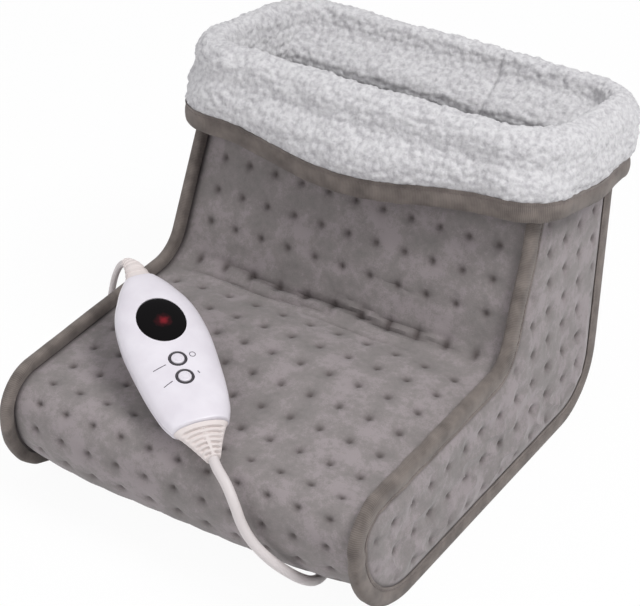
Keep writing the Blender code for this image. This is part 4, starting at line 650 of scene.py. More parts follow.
def padded_strip(start, end, crown_table, quilting):
    """Outer and inner grids of a strip, and how much painted shade each point takes.

    The strip swells, is quilted, and has its allowances beside it.
    """
    along = rows_between(start, end, STRIP_STEP)
    columns = closer_at_ends(round((WIDTH - 2 * PAD_INNER) / STRIP_STEP), CLOSER_SHARE)
    share = (along - start) / (end - start)
    table = [np.interp(share + w, crown_table[:, 0], crown_table[:, 1])
             for w in np.linspace(-BLUR_SHARE, BLUR_SHARE, 7)]
    middle = SEAM_INSET * np.mean(table, axis=0)
    # The quilting gives the face's depth, and the painted shade, held in flat.
    depth, flat = quilting(along[:, None], columns[None, :])
    face = SEAM_INSET - (SEAM_INSET - middle[:, None]) * crown_shares(columns)[None, :] + depth
    shares = np.concatenate(((-1.0, -1.0), columns, (1.0, 1.0)))
    offset = np.full(len(shares), GAP + ALLOWANCE_T)
    offset[[0, -1]] = GAP
    edge = np.full((len(along), 2), ALLOWANCE_INSET)
    outer = strip_points(along, shares, offset, np.hstack((edge, face, edge)))
    inner = strip_points(along, shares, GAP, np.full((len(along), len(shares)), PAD_INNER))
    painted_shade = np.zeros((2, *outer.shape[:2]))
    painted_shade[0, :, 2:-2] = flat
    return outer, inner, painted_shade


# %% Quilting of each strip
BACK_PHASE = 0.010
# Painted shade along the seams, where the tape shades the plush: how dark, and where across the
# strip it starts.
SEAM_PAINTED_SHADE = 0.9
SEAM_SHADE_START = 0.97
SAG_HALF_WIDTH = 0.13
FOLD_WANDER = 0.0012
# How dark the painted shade in a crease is, for each metre of its depth.
FOLD_PAINTED_SHADE = 200.0
FOLDS = (
    # distance along, its drift across, depth, half height, middle and half length across
    (0.1165, 0.0030, 0.0032, 0.0015, 0.00, 0.90),
    (0.1225, -0.0020, 0.0024, 0.0014, -0.45, 0.50),
    (0.1120, 0.0030, 0.0016, 0.0013, 0.35, 0.45),
    (0.1290, 0.0010, 0.0014, 0.0015, 0.20, 0.40),
    (0.0930, 0.0010, 0.0006, 0.0010, 0.35, 0.22),
    (0.0700, 0.0010, 0.0005, 0.0010, 0.50, 0.20),
)


def quilted(along, columns, phase):
    """Dimples on a strip, left out near its seams; and painted shade at the dots and along the
    seams.
    """
    half = seam_x(CORNERS[2][1]) - GAP - ALLOWANCE_T
    count = int((half - DIMPLE_PITCH / 2) / DIMPLE_PITCH)
    kept = np.abs(columns * half) < (count + 0.5) * DIMPLE_PITCH
    place = (columns * half, along - phase, DIMPLE_PITCH, DIMPLE_ROW_PITCH)
    at_seam = (np.abs(columns) - SEAM_SHADE_START) / (1 - SEAM_SHADE_START)
    return dimples(*place) * kept, painted_dot_shade(*place) * kept + SEAM_PAINTED_SHADE * np.clip(at_seam, 0, 1)


def folds(along, columns):
    """Creases across the ankle: exp(-(distance/width)^2), fading towards their ends.

    Returns their depth, and the painted shade in them.
    """
    total = np.zeros(np.broadcast_shapes(along.shape, columns.shape))
    painted_shade = np.zeros_like(total)
    for place, drift, depth, width, middle, reach in FOLDS:
        wander = FOLD_WANDER * np.sin(9.0 * columns + 40.0 * place)
        off = (along - place - drift * columns - wander) / width
        fade = np.clip(1 - ((columns - middle) / reach) ** 2, 0.0, 1.0)
        total += depth * fade * (np.exp(-(off**2)) - 0.5 * np.exp(-((off - 2.2) ** 2)))
        painted_shade += FOLD_PAINTED_SHADE * depth * fade * np.exp(-(off**2))
    return total, painted_shade


def sag(along, columns, height, size, layer, seed):
    """A slow unevenness of a strip's face."""
    place = np.broadcast_arrays(columns * SAG_HALF_WIDTH, along, np.full(1, layer))
    return height * soft_noise(np.stack(place, axis=-1), size, seed)


def front_quilting(along, columns):
    """The front panel's dimples, ankle creases and sag, and its painted shade."""
    depth, painted_shade = quilted(along, columns, 0.0)
    crease, crease_shade = folds(along, columns)
    soft = sag(along, columns, 0.0007, 0.034, 0.0, 3)
    return depth + crease + soft, np.minimum(painted_shade + crease_shade, 1.0)


def back_quilting(along, columns):
    """The back panel's dimples and sag, and its painted shade."""
    depth, painted_shade = quilted(along, columns, BACK_PHASE)
    return depth + sag(along, columns, 0.0007, 0.034, 1.0, 4), np.minimum(painted_shade, 1.0)


# %% Front and back panels
for strip_name, start, end, table, quilting in (
    ("front_panel", 0.0, TOE_END, FRONT_CROWN, front_quilting),
    ("back_panel", HEEL_START, TOP_END, BACK_CROWN, back_quilting),
):
    outer, inner, painted_shade = padded_strip(start, end, table, quilting)
    panel = piece(f"{strip_name}_plush", "boot", PLUSH, slab(outer, inner), strip_name,
                  slot="quilted_plush", painted_shade=painted_shade)
    print(strip_name, len(panel.data.polygons), "faces")

# %% [markdown]
# ## Side panels
# Each side is a flat boot shape, bound all round. Four lines bound it: the front, the back, the
# shaft's top and the toe. A Coons patch fills them. It adds the blend of front to back to the
# blend of top to toe, and takes away the blend of the four corners, which both have counted.

# %% Side panel surfaces
SIDE_ROWS = 240
SIDE_COLUMNS = 130
SIDE_CROWN = 0.0030
SIDE_CROWN_WIDTH = 0.012
TAPE_OUTER_LEG = 0.0135
SHAFT_ROWS_SHARE = 0.36


def coons(front, back, top, end):
    """(1-v) front + v back + (1-u) top + u end, less the bilinear blend of the corners."""
    u = np.linspace(0.0, 1.0, len(front))[:, None, None]
    v = np.linspace(0.0, 1.0, len(top))[None, :, None]
    sides = (1 - v) * front[:, None] + v * back[:, None]
    ends = (1 - u) * top[None] + u * end[None]
    first, last = ((1 - v) * front[k] + v * back[k] for k in (0, -1))
    return sides + ends - (1 - u) * first - u * last


def boot_patch(depth, rows, columns):
    """The boot's side as a grid of (y, z): the shaft's rows first, then the foot's."""
    line = OUTLINE - depth * NORMALS
    shaft = round(rows * SHAFT_ROWS_SHARE)
    edges = [np.vstack((even(upper, shaft)[:-1], even(lower, rows - shaft + 1)))
             for upper, lower in (
                 (line[: INSTEP_MIDDLE + 1], line[INSTEP_MIDDLE : TOE_TOP + 1]),
                 (line[HEEL_MIDDLE:][::-1], line[TOE_LOW : HEEL_MIDDLE + 1][::-1]))]
    return coons(*edges, even(line[[0, -1]], columns), even(line[TOE_TOP : TOE_LOW + 1], columns))


def edge_distance(plan):
    """How far each point of a plan lies inside the outline: the least distance to its points."""
    flat = plan.reshape(-1, 2)
    least = np.full(len(flat), np.inf)
    for chunk in np.array_split(even(OUTLINE, 700), 7):
        apart = ((flat[:, None] - chunk[None]) ** 2).sum(axis=-1).min(axis=1)
        least = np.minimum(least, apart)
    return np.sqrt(least).reshape(plan.shape[:2])


def on_side(side, off_seam, y, z):
    """Points of a side: how far they stand off the seam's plane, and their place in the plan."""
    return placed(np.stack((side * (seam_x(z) + off_seam), y, z), axis=-1))


def side_surface(side, crumple):
    """Outer and inner grids of a side, flat under the tape, then swelling, dimpled and crumpled;
    and its painted shade.
    """
    plan = boot_patch(TAPE_T + GAP, SIDE_ROWS, SIDE_COLUMNS)
    y, z = plan[..., 0], plan[..., 1]
    rise = np.clip((edge_distance(plan) - TAPE_OUTER_LEG) / SIDE_CROWN_WIDTH, 0.0, 1.0)
    depth = dimples(y, z, DIMPLE_PITCH, DIMPLE_PITCH) * rise
    place = np.stack((y, 1.7 * z + 0.5 * y, np.full_like(y, side)), axis=-1)
    low = np.clip(1.25 - z / 0.085, 0.0, 1.0)
    wrinkle = crumple * low * rise * (np.abs(soft_noise(place, 0.017, 11)) ** 0.7 - 0.45)
    wrinkle += 0.4 * crumple * rise * soft_noise(place, 0.038, 12)
    thick = EDGE_T + SIDE_CROWN * np.sin(rise * math.pi / 2) - depth - wrinkle
    # Painted shade: dark in the dimples, and darker in the flat band beside the tape, where the
    # tape's edge shades the plush.
    dots = painted_dot_shade(y, z, DIMPLE_PITCH, DIMPLE_PITCH) * rise
    dots += 0.7 * np.clip(1 - rise / 0.2, 0.0, 1.0)
    return on_side(side, thick, y, z), on_side(side, 0.0, y, z), np.stack((dots, 0 * dots))


for side, word, crumple in ((-1, "left", 0.0010), (1, "right", 0.0034)):
    outer, inner, painted_shade = side_surface(side, crumple)
    panel = piece(f"side_panel_{word}_plush", "boot", PLUSH, slab(outer, inner),
                  f"side_panel_{word}", slot="quilted_plush", painted_shade=painted_shade)

# %% [markdown]
# ## Taped seams
# A tape is folded over the two edges of each side seam and sewn through. Its section is a narrow
# U with a soft fold at the top. The section is carried along the outline, where it ripples a
# little, and the stitches are small grains of thread laid in a row near the tape's edge.

# %% Tape surfaces
TAPE_STEP = 0.0022
TAPE_RIPPLE = 0.00035
HOLLOW = EDGE_T + GAP
INNER_FACE = -(GAP + ALLOWANCE_T + GAP)
# reach beyond the seam and depth inside the outline, from the outer leg's edge over the fold
TAPE_SECTION = np.array((
    (HOLLOW + 0.0007, 0.0135), (HOLLOW + 0.0011, 0.0128), (HOLLOW + 0.0009, 0.0118),
    (HOLLOW + 0.0006, 0.0111), (HOLLOW + 0.0010, 0.0102), (HOLLOW + 0.0014, 0.0082),
    (HOLLOW + 0.0015, 0.0058), (HOLLOW + 0.0012, 0.0034), (HOLLOW + 0.0006, 0.0016),
    (HOLLOW - 0.0006, 0.0004), (HOLLOW - 0.0024, 0.0), (INNER_FACE + 0.0010, 0.0001),
    (INNER_FACE - 0.0001, 0.0008), (INNER_FACE - 0.0008, 0.0022), (INNER_FACE - 0.0010, 0.0044),
    (INNER_FACE - 0.0008, 0.0066), (INNER_FACE - 0.0007, 0.0080),
))


def inside_line(section, thickness):
    """The section's own inside: each point moved by a thickness along its normal."""
    run = np.gradient(section, axis=0)
    normal = np.column_stack((-run[:, 1], run[:, 0]))
    return section + thickness * normal / np.linalg.norm(normal, axis=1)[:, None]


def tape_surface(side):
    """Section points carried along the outline; noise along it lifts and dips the fold."""
    along = rows_between(0.0, TOP_END, TAPE_STEP)
    point, normal = at_outline(along)
    loop = np.vstack((TAPE_SECTION, inside_line(TAPE_SECTION, -TAPE_T)[::-1]))
    place = np.column_stack((along, along * 0, along * 0 + side))
    ripple = TAPE_RIPPLE * soft_noise(place, 0.009, 21)
    depth = loop[None, :, 1] + ripple[:, None]
    y = point[:, None, 0] - depth * normal[:, None, 0]
    z = point[:, None, 1] - depth * normal[:, None, 1]
    x = side * (seam_x(z) + loop[None, :, 0] + 0.6 * ripple[:, None])
    return placed(np.stack((x, y, z), axis=-1))


def tube_with_ends(points):
    """A grid closed round its columns, and its two open ends closed across the wall."""
    half = points.shape[1] // 2
    folded = points[:, half:][:, ::-1]
    return slab(points[:, :half], folded)


def thread_stitches(spots, ways, ups, length, thickness):
    """Grains of thread: one small spindle of rings and sides, copied to every spot at once."""
    shares = np.array((0.0, 0.18, 0.5, 0.82, 1.0))
    fat = np.array((0.05, 0.75, 1.0, 0.75, 0.05)) * thickness / 2
    angles = np.arange(6) * math.tau / 6
    sides = np.cross(ways, ups)
    centre = (shares - 0.5) * length
    rings = (spots[:, None, None] + centre[None, :, None, None] * ways[:, None, None]
             + (fat[:, None] * np.cos(angles))[None, :, :, None] * sides[:, None, None]
             + (fat[:, None] * np.sin(angles))[None, :, :, None] * ups[:, None, None])
    count = len(spots)
    one = np.arange(len(shares) * 6).reshape(len(shares), 6)
    beside = np.roll(one, -1, axis=1)
    quads = np.stack((one[:-1], beside[:-1], beside[1:], one[1:]), axis=-1).reshape(-1, 4)
    faces = (quads[None] + np.arange(count)[:, None, None] * one.size).reshape(-1, 4)
    return rings.reshape(-1, 3), faces, np.zeros((len(faces), 4, 2))


# %% Tapes and their stitches
STITCH_PITCH = 0.0042
STITCH_LENGTH = 0.0031
STITCH_THICKNESS = 0.00075
STITCH_DEPTH = 0.0112
LEG_RISE = 0.0007

# Twisted polyester thread, a little glossy.
THREAD = plain_finish("polyester_thread", "6b5f5c", 0.55, Sheen_Weight=0.1)[0]
for side, word in ((-1, "left"), (1, "right")):
    piece(f"edge_tape_{word}", "boot", TAPE, tube_with_ends(tape_surface(side)),
          f"edge_binding_{word}", slot="grosgrain_tape")
    spots = np.arange(STITCH_PITCH, TOP_END - STITCH_PITCH, STITCH_PITCH)
    point, normal = at_outline(spots)
    y, z = (point - STITCH_DEPTH * normal).T
    x = side * (seam_x(z) + HOLLOW + LEG_RISE)
    centres = placed(np.column_stack((x, y, z)))
    ways = np.column_stack((np.zeros(len(spots)), normal[:, 1], -normal[:, 0]))
    ups = np.tile((float(side), 0.0, 0.0), (len(spots), 1))
    piece(f"edge_stitches_{word}", "boot", THREAD,
          thread_stitches(centres, ways, ups, STITCH_LENGTH, STITCH_THICKNESS))

# %% [markdown]
# ## The lining
# Sherpa lines the boot inside, cut like the outer panels: a strip down the front, one up the back,
# one on the sole, and two sides. Each is a thin slab whose inner face carries the tufts.

# %% Lining surfaces
LINING_T = 0.0045
LINING_STEP = 0.0016
STACK = PAD_INNER + GAP
SIDE_STEP = GAP + LINING_T + GAP
FOAM_T = 0.0080
HEATING_PAD_T = 0.0020
HEATER_LAYER = 0.0032
SOLE_LINING_T = 0.0050
LINING_TOP = 0.1970
LINING_SLOPE = -0.1350
SIDE_LINING_GRID = (160, 90)
CURL_SIZES = ((0.0050, 0.0026, 51), (0.0028, 0.0010, 61))
SUNK_SHARE = 0.8
# The strips were cut to the seam's width at this height.
CUT_LEVEL = 0.1
FRONT_LINING_START = 0.0080
BACK_LINING_SHORTER = 0.0165


def curls_at(points, middle):
    """Curls of two sizes, in metres: the tufts at each point less a middle value, by a height."""
    return sum(height * (tufts(points, size, seed) - middle) for size, height, seed in CURL_SIZES)


def curly(face, way):
    """Curls sunk into the slab's own thickness, so that the piece keeps its place."""
    return face + way * (SUNK_SHARE * curls_at(face, 1.0))[..., None]


def lining_strip(start, end, depth, thickness):
    """A slab along the outline, its inner face tufted."""
    along = rows_between(start, end, LINING_STEP)
    shares = np.linspace(-1.0, 1.0, round(2 * seam_x(CUT_LEVEL) / LINING_STEP))
    offset = np.full(len(shares), SIDE_STEP)
    flat = np.full((len(along), len(shares)), depth)
    outer = strip_points(along, shares, offset, flat)
    inner = strip_points(along, shares, offset, flat + thickness)
    way = (inner - outer) / thickness
    return outer, curly(inner, way)


LINING_STRIPS = (
    ("lining_front", FRONT_LINING_START, TOE_END, STACK, LINING_T),
    ("lining_back", HEEL_START, TOP_END - BACK_LINING_SHORTER, STACK, LINING_T),
    ("lining_sole", TOE_END + GAP, HEEL_START - GAP,
     STACK + FOAM_T + GAP + HEATING_PAD_T + HEATER_LAYER + GAP, SOLE_LINING_T),
)
for strip_name, start, end, depth, thickness in LINING_STRIPS:
    outer, inner = lining_strip(start, end, depth, thickness)
    lining = piece(f"{strip_name}_sherpa", "boot", LINING_FLEECE_PAINTED_LIGHTER, slab(outer, inner), strip_name,
                   slot="sherpa_fleece")


def side_lining_surface(side):
    """The boot patch inside the strips' pads, tufted on the face towards the foot."""
    plan = boot_patch(STACK + GAP, *SIDE_LINING_GRID)
    y, z = plan[..., 0], plan[..., 1]
    limit = LINING_TOP + LINING_SLOPE * (y - SHAFT_FRONT_Y - 0.0004) - GAP
    z = np.minimum(z, limit)
    inner = on_side(side, -GAP - LINING_T, y, z)
    way = np.broadcast_to(np.array((-side, 0.0, 0.0)), inner.shape)
    return on_side(side, -GAP, y, z), curly(inner, way)


for side, word in ((-1, "left"), (1, "right")):
    outer, inner = side_lining_surface(side)
    lining = piece(f"lining_{word}_sherpa", "boot", LINING_FLEECE_PAINTED_LIGHTER, slab(outer, inner),
                   f"lining_{word}", slot="sherpa_fleece")

# %% [markdown]
# ## The cuff
# The lining comes out over the shaft's top, rolls over and folds down outside as a thick cuff. Its
# section is one closed line: up the outside, over the roll, down the inside, and back through the
# slot that the shaft's top stands in. Each point of that line has its own rounded rectangle, whose
# sides may bow and sag, so the hem can droop in front while the rim stays straight.

# %% Cuff levels
HEM_Z = 0.1862
HEM_CLEARANCE = 0.0046
HEM_T = 0.0090
HEM_CORNER = 0.0120
HEM_OUTER_CORNER = 0.0240
HEM_BOW = 0.0120
HEM_INNER_BOW = 0.0080
HEM_SAG = 0.0095
SAG_SKEW = 0.35
MIDDLE_BOW = 0.0100
MIDDLE_SAG = 0.0050
RIM_BOW = 0.0035
HEM_SLOPE = -0.13
HEM_TAPE_HEIGHT = 0.0140
TAPE_INNER_HEIGHT = 0.0070
CUFF_OVERHANG = 0.0020
CUFF_BULGE = 0.0160
RIM = np.array((0.1317, 0.2344, RIM_BACK_Y))
RIM_Z = 0.2290
RIM_SLOPE = -0.15
RIM_CORNER = 0.030
INNER_ROLL_SHARE = 0.4
ROLL_ANGLES = np.radians((-22.0, 12.0, 45.0, 75.0, 105.0, 140.0, 175.0))
INNER_LEG_Z = 0.1970
SLOT_Z = SHAFT_FRONT_Z + 0.0040


def tilt_at(z):
    """The slope of a level towards the back: it grows from the hem's to the rim's."""
    return HEM_SLOPE + (RIM_SLOPE - HEM_SLOPE) * (z - HEM_Z) / (RIM_Z - HEM_Z)


def back_level(z):
    """Height at the shaft's back of a level that is z high at the rim's front."""
    return z + tilt_at(z) * (back_y(z) - RIM[1])


def shaft_rectangle(z):
    """Half width, front and back of the cuff's inside round the shaft."""
    low = back_level(z)
    grown = HEM_CLEARANCE
    return np.array((WIDTH / 2 - SIDE_SLOPE * low + grown, front_y(z) - grown, back_y(low) + grown))


def lining_rectangle(z):
    """Half width, front and back of the lining's outside."""
    front = STACK * math.hypot(1.0, FRONT_SLOPE)
    back = STACK * math.hypot(1.0, BACK_SLOPE)
    return np.array((seam_x(z) - GAP, front_y(z) + front, back_y(back_level(z)) - back))


def level(rectangle, growth, corner, z, bow=0.0, sag=0.0):
    """Eight numbers: half width, front, back, corner radius, height, slope, bow and sag."""
    half, front, back = rectangle + growth * np.array((1.0, -1.0, 1.0))
    return np.array((half, front, back, max(corner + growth, GAP), z, tilt_at(z), bow, sag))


# %% Rounded rectangles as rows
CORNER_COLUMNS = 44
SIDE_COLUMN_COUNTS = (150, 66, 150, 66)
BOW_SHARES = (0.4, 0.2, 1.0, 0.2)
SIDE_WAYS = np.array(((0.0, 1.0), (-1.0, 0.0), (0.0, -1.0), (1.0, 0.0)))


def ring_rows(levels):
    """A row for each level: four arcs, and four sides that bow and sag as sin squared of pi t."""
    half, front, back, radius, z, tilt, bow, sag = np.asarray(levels).T[..., None]
    arcs = []
    for sign, rear, turn in ((1, True, 0.0), (-1, True, 90.0),
                             (-1, False, 180.0), (1, False, 270.0)):
        angles = np.radians(np.linspace(turn, turn + 90.0, CORNER_COLUMNS))[None]
        middle = back - radius if rear else front + radius
        arcs.append(np.stack((sign * (half - radius) + radius * np.cos(angles),
                              middle + radius * np.sin(angles)), axis=-1))
    flat, drop = [], []
    for number, (share, count) in enumerate(zip(BOW_SHARES, SIDE_COLUMN_COUNTS)):
        start, end = arcs[number][:, -1:], arcs[(number + 1) % 4][:, :1]
        t = np.arange(1, count + 1)[None, :, None] / (count + 1)
        swell = share * np.sin(np.pi * t) ** 2
        run = start + t * (end - start) + bow[..., None] * swell * SIDE_WAYS[number]
        flat += [arcs[number], run]
        drop += [np.zeros(arcs[number].shape[:2]), sag * swell[..., 0]]
    flat = np.concatenate(flat, axis=1)
    skew = SAG_SKEW * sag * flat[..., 0] / half
    height = z + tilt * (flat[..., 1] - RIM[1]) - np.concatenate(drop, axis=1) + skew
    return placed(np.concatenate((flat, height[..., None]), axis=-1))


def loop_along(levels):
    """Distances round a closed list of levels, as seen in section at its front."""
    closed = np.vstack((levels, levels[:1]))
    runs = np.hypot(np.diff(closed[:, 1]), np.diff(closed[:, 4]))
    return closed, np.concatenate(((0.0,), np.cumsum(runs)))


def softened_loop(levels, places, first, last, blur):
    """Levels read at places round the loop, blurred by a Gaussian between two of them."""
    closed, along = loop_along(levels)
    total = along[-1]
    shifts = np.linspace(-2.5 * blur, 2.5 * blur, 21)
    weights = np.exp(-0.5 * (shifts / blur) ** 2)
    weights /= weights.sum()

    def read(spots):
        return np.column_stack([np.interp(spots % total, along, column) for column in closed.T])

    plain = read(places)
    soft = sum(weight * read(places + shift) for weight, shift in zip(weights, shifts))
    ramp = np.clip(np.minimum(places - along[first], along[last] - places) / 0.008, 0.0, 1.0)
    return plain + ramp[:, None] * (soft - plain)


def normals_round(points):
    """Unit normals of a grid that closes on itself both ways."""
    down = np.roll(points, -1, axis=0) - np.roll(points, 1, axis=0)
    across = np.roll(points, -1, axis=1) - np.roll(points, 1, axis=1)
    normal = np.cross(across, down)
    return normal / np.maximum(np.linalg.norm(normal, axis=-1, keepdims=True), 1e-12)


# %% Cuff of sherpa
CUFF_STEP = 0.00125
HIDDEN_STEP = 0.0035
CUFF_BLUR = 0.0045
INNER_SEAM_X, INNER_SEAM_DEPTH, INNER_SEAM_WIDTH = 0.0350, 0.0034, 0.0022


def cuff_levels():
    """The cuff's section, from its hem up, over the roll, down inside and back by the slot."""
    hem = shaft_rectangle(HEM_Z)
    fold_z = HEM_Z + HEM_TAPE_HEIGHT
    inner_top = HEM_Z + TAPE_INNER_HEIGHT
    left = (SLOT_Z - inner_top) / (SLOT_Z - HEM_Z)
    middle_corner = (HEM_OUTER_CORNER + RIM_CORNER) / 2
    outer = [
        level(hem, 0.0, HEM_CORNER, HEM_Z, HEM_INNER_BOW, HEM_SAG),
        level(hem, HEM_T, HEM_OUTER_CORNER, HEM_Z, HEM_BOW, HEM_SAG),
        level(hem, HEM_T, HEM_OUTER_CORNER, fold_z, HEM_BOW, HEM_SAG),
        level(hem, HEM_T + CUFF_OVERHANG, HEM_OUTER_CORNER, fold_z + CUFF_OVERHANG / 2, HEM_BOW,
              HEM_SAG),
        level((hem + RIM) / 2, CUFF_BULGE, middle_corner, (fold_z + RIM_Z) / 2, MIDDLE_BOW,
              MIDDLE_SAG),
    ]
    inside = np.where(np.cos(ROLL_ANGLES) < 0.0, INNER_ROLL_SHARE, 1.0)
    roll = [level(RIM, ROLL_RADIUS * share * math.cos(a), RIM_CORNER,
                  RIM_Z + ROLL_RADIUS * math.sin(a), RIM_BOW)
            for a, share in zip(ROLL_ANGLES, inside)]
    inner = [
        level(lining_rectangle(SLOT_Z), -LINING_T, HEM_CORNER + LINING_T, SLOT_Z),
        level(lining_rectangle(INNER_LEG_Z), -LINING_T, HEM_CORNER + LINING_T, INNER_LEG_Z),
        level(lining_rectangle(INNER_LEG_Z), 0.0, HEM_CORNER, INNER_LEG_Z),
        level(lining_rectangle(SLOT_Z), 0.0, HEM_CORNER, SLOT_Z),
        level(shaft_rectangle(SLOT_Z), 0.0, HEM_CORNER, SLOT_Z),
        level(shaft_rectangle(inner_top), 0.0, HEM_CORNER, inner_top, left * HEM_INNER_BOW,
              left * HEM_SAG),
    ]
    return np.array(outer + roll + inner)


CUFF_TAPE_EDGE, CUFF_ROLL_TOP, CUFF_SHOWN_END = 2, 8, 13
levels = cuff_levels()
_, along = loop_along(levels)
shown = rows_between(along[1], along[CUFF_SHOWN_END], CUFF_STEP)
hidden = rows_between(along[CUFF_SHOWN_END], along[-1] + along[1], HIDDEN_STEP)[1:-1]
places = np.concatenate((shown, hidden))
cuff_rows = ring_rows(softened_loop(levels, places, 1, CUFF_SHOWN_END, CUFF_BLUR))
outward = normals_round(cuff_rows)
above_tape = np.clip((places - along[CUFF_TAPE_EDGE] + 0.0010) / 0.0030, 0.0, 1.0)
before_end = np.clip((along[CUFF_SHOWN_END] - places) / 0.0180, 0.0, 1.0)
sunk = SUNK_SHARE * curls_at(cuff_rows, 1.0) * (places <= along[CUFF_SHOWN_END])[:, None]
waves = 0.0012 * soft_noise(cuff_rows, 0.030, 71) + 0.0007 * soft_noise(cuff_rows, 0.012, 72)
standing = (curls_at(cuff_rows, 0.35) + waves) * (above_tape * before_end)[:, None]
standing += sunk * (1.0 - before_end)[:, None]
roll_passed = np.clip((places - along[CUFF_ROLL_TOP]) / 0.0100, 0.0, 1.0) * before_end
facing_front = np.clip(-2.0 * outward[..., 1] * roll_passed[:, None], 0.0, 1.0)
from_seam = (cuff_rows[..., 0] - INNER_SEAM_X) / INNER_SEAM_WIDTH
standing -= INNER_SEAM_DEPTH * facing_front * np.exp(-from_seam ** 2)
cuff_rows = cuff_rows + outward * standing[..., None]
cuff = piece("cuff_sherpa", "boot", SHERPA, grid(cuff_rows, True, True), "cuff",
             slot="sherpa_fleece", sharp_deg=180.0)
print("cuff", len(cuff.data.polygons), "faces")

# %% [markdown]
# ## The hem's tape
# The same grosgrain is folded over the cuff's hem and sewn through. Its section is a U again, a
# little fuller between the fold and the stitches. The grid is turned so that its rows run round
# the hem, which turns the ribs upright.

# %% Hem tape and its stitches
# height above the tape's lowest edge, and how far that place stands out from the tape's face
TAPE_FACE = np.array((
    (0.0, -0.0007), (0.0004, -0.0001), (0.0014, 0.0004), (0.0034, 0.0008), (0.0062, 0.0010),
    (0.0092, 0.0008), (0.0110, 0.0004), (0.0120, 0.0), (0.0130, 0.0003), (0.0148, 0.0005),
))
HEM_STITCH_ROW = 7


def hem_tape_levels():
    """Up the outer leg's face, down its back, under the hem, and up and down the inner leg."""
    hem = shaft_rectangle(HEM_Z)
    low = HEM_Z - GAP
    inner_top = HEM_Z + TAPE_INNER_HEIGHT
    left = (SLOT_Z - inner_top) / (SLOT_Z - HEM_Z)
    leaned = shaft_rectangle(inner_top)
    face = [level(hem, HEM_T + GAP + TAPE_T + out, HEM_OUTER_CORNER, low - TAPE_T + up, HEM_BOW,
                  HEM_SAG)
            for up, out in TAPE_FACE]
    rear = [level(hem, HEM_T + GAP + out, HEM_OUTER_CORNER, max(low - TAPE_T + up, low), HEM_BOW,
                  HEM_SAG)
            for up, out in TAPE_FACE[:0:-1]]
    inner = [
        level(hem, -GAP, HEM_CORNER, low, HEM_INNER_BOW, HEM_SAG),
        level(leaned, -GAP, HEM_CORNER, inner_top, left * HEM_INNER_BOW, left * HEM_SAG),
        level(leaned, -GAP - TAPE_T, HEM_CORNER, inner_top, left * HEM_INNER_BOW, left * HEM_SAG),
        level(hem, -GAP - TAPE_T, HEM_CORNER, low - TAPE_T, HEM_INNER_BOW, HEM_SAG),
    ]
    return np.array(face + rear + inner)


tape_rows = ring_rows(hem_tape_levels())
ripple = sum(height * soft_noise(tape_rows[:1], size, seed)
             for height, size, seed in ((0.0005, 0.011, 81), (0.0004, 0.005, 82)))
tape_rows = tape_rows + ripple[..., None] * np.array((0.0, 0.0, 1.0))
piece("hem_tape", "boot", TAPE, grid(tape_rows.transpose(1, 0, 2), True, True), "cuff_binding",
      slot="grosgrain_tape")
stitch_line = tape_rows[HEM_STITCH_ROW]
stitch_line = np.vstack((stitch_line, stitch_line[:1]))
hem_length = np.linalg.norm(np.diff(stitch_line, axis=0), axis=1).sum()
spots = even(stitch_line, 1 + round(hem_length / STITCH_PITCH))
ways = np.gradient(spots, axis=0)
ways /= np.linalg.norm(ways, axis=1)[:, None]
ups = np.cross(ways, (0.0, 0.0, 1.0))
ups /= np.linalg.norm(ups, axis=1)[:, None]
piece("hem_stitches", "boot", THREAD,
      thread_stitches(spots[:-1], ways[:-1], ups[:-1], STITCH_LENGTH, STITCH_THICKNESS))
print(f"hem {hem_length * 1000:.0f} mm round, {len(spots) - 1} stitches")

# %% [markdown]
# ## The sole and what is inside it
# The sole is a coarse woven cloth with rubber dots against slipping. Above it lie a foam sheet, a
# needled felt pad with the heating wire on it, and the lining. The inner layers are plain slabs
# along the same outline, and a slow noise keeps them from looking machined.

# %% Sole finishes
DOT_PITCH = 0.0056


def non_slip_cloth():
    """Oxford weave with moulded dots: the dots are where a point lies near its cell's middle."""
    made, tree, shader = plain_finish("oxford_cloth_with_pvc_dots", "6f6a69", 0.85,
                                      Specular_IOR_Level=0.25)
    cells = node(tree, "ShaderNodeTexVoronoi", {"Vector": in_units(tree, DOT_PITCH), "Scale": 1.0,
                                                "Randomness": 0.0}, voronoi_dimensions="2D")
    thread, = noises(tree, (0.0008, 1.0, 0.5))
    lay_on(tree, shader, cells.outputs["Distance"], ((0.26, "4b4746"), (0.31, "77706e")),
           ((thread, 0.0003, 0.5),))
    return made


# Polyurethane foam is cream, with small cells that open at its surface; they are painted darker, as
# painted shade in the pores.
FOAM = mottled("open_cell_polyurethane_foam", "e2ddcc", 0.95, ((0.0011, 2.0, 0.7),),
               ((0.35, "bdb59c"), (0.6, "e2ddcc")), ((0, 0.0004, 0.6),))
# Needled polyester felt shows matted grey fibres.
FELT = mottled("needled_polyester_felt", "c2c2c2", 0.95, ((0.0026, 4.0, 0.7),),
               ((0.35, "a9a9ab"), (0.65, "cbcbcb")), ((0, 0.0005, 0.5),), Sheen_Weight=0.2)

# %% Sole and inner layers
LAYER_STEP = 0.0040
SOLE_CROWN = np.array(((0.0, 0.85), (1.0, 0.85)))


def plain_sole(along, columns):
    """The sole's cloth isn't quilted: it only sags a little between its seams."""
    return sag(along, columns, 0.0004, 0.030, 2.0, 5), 0.0


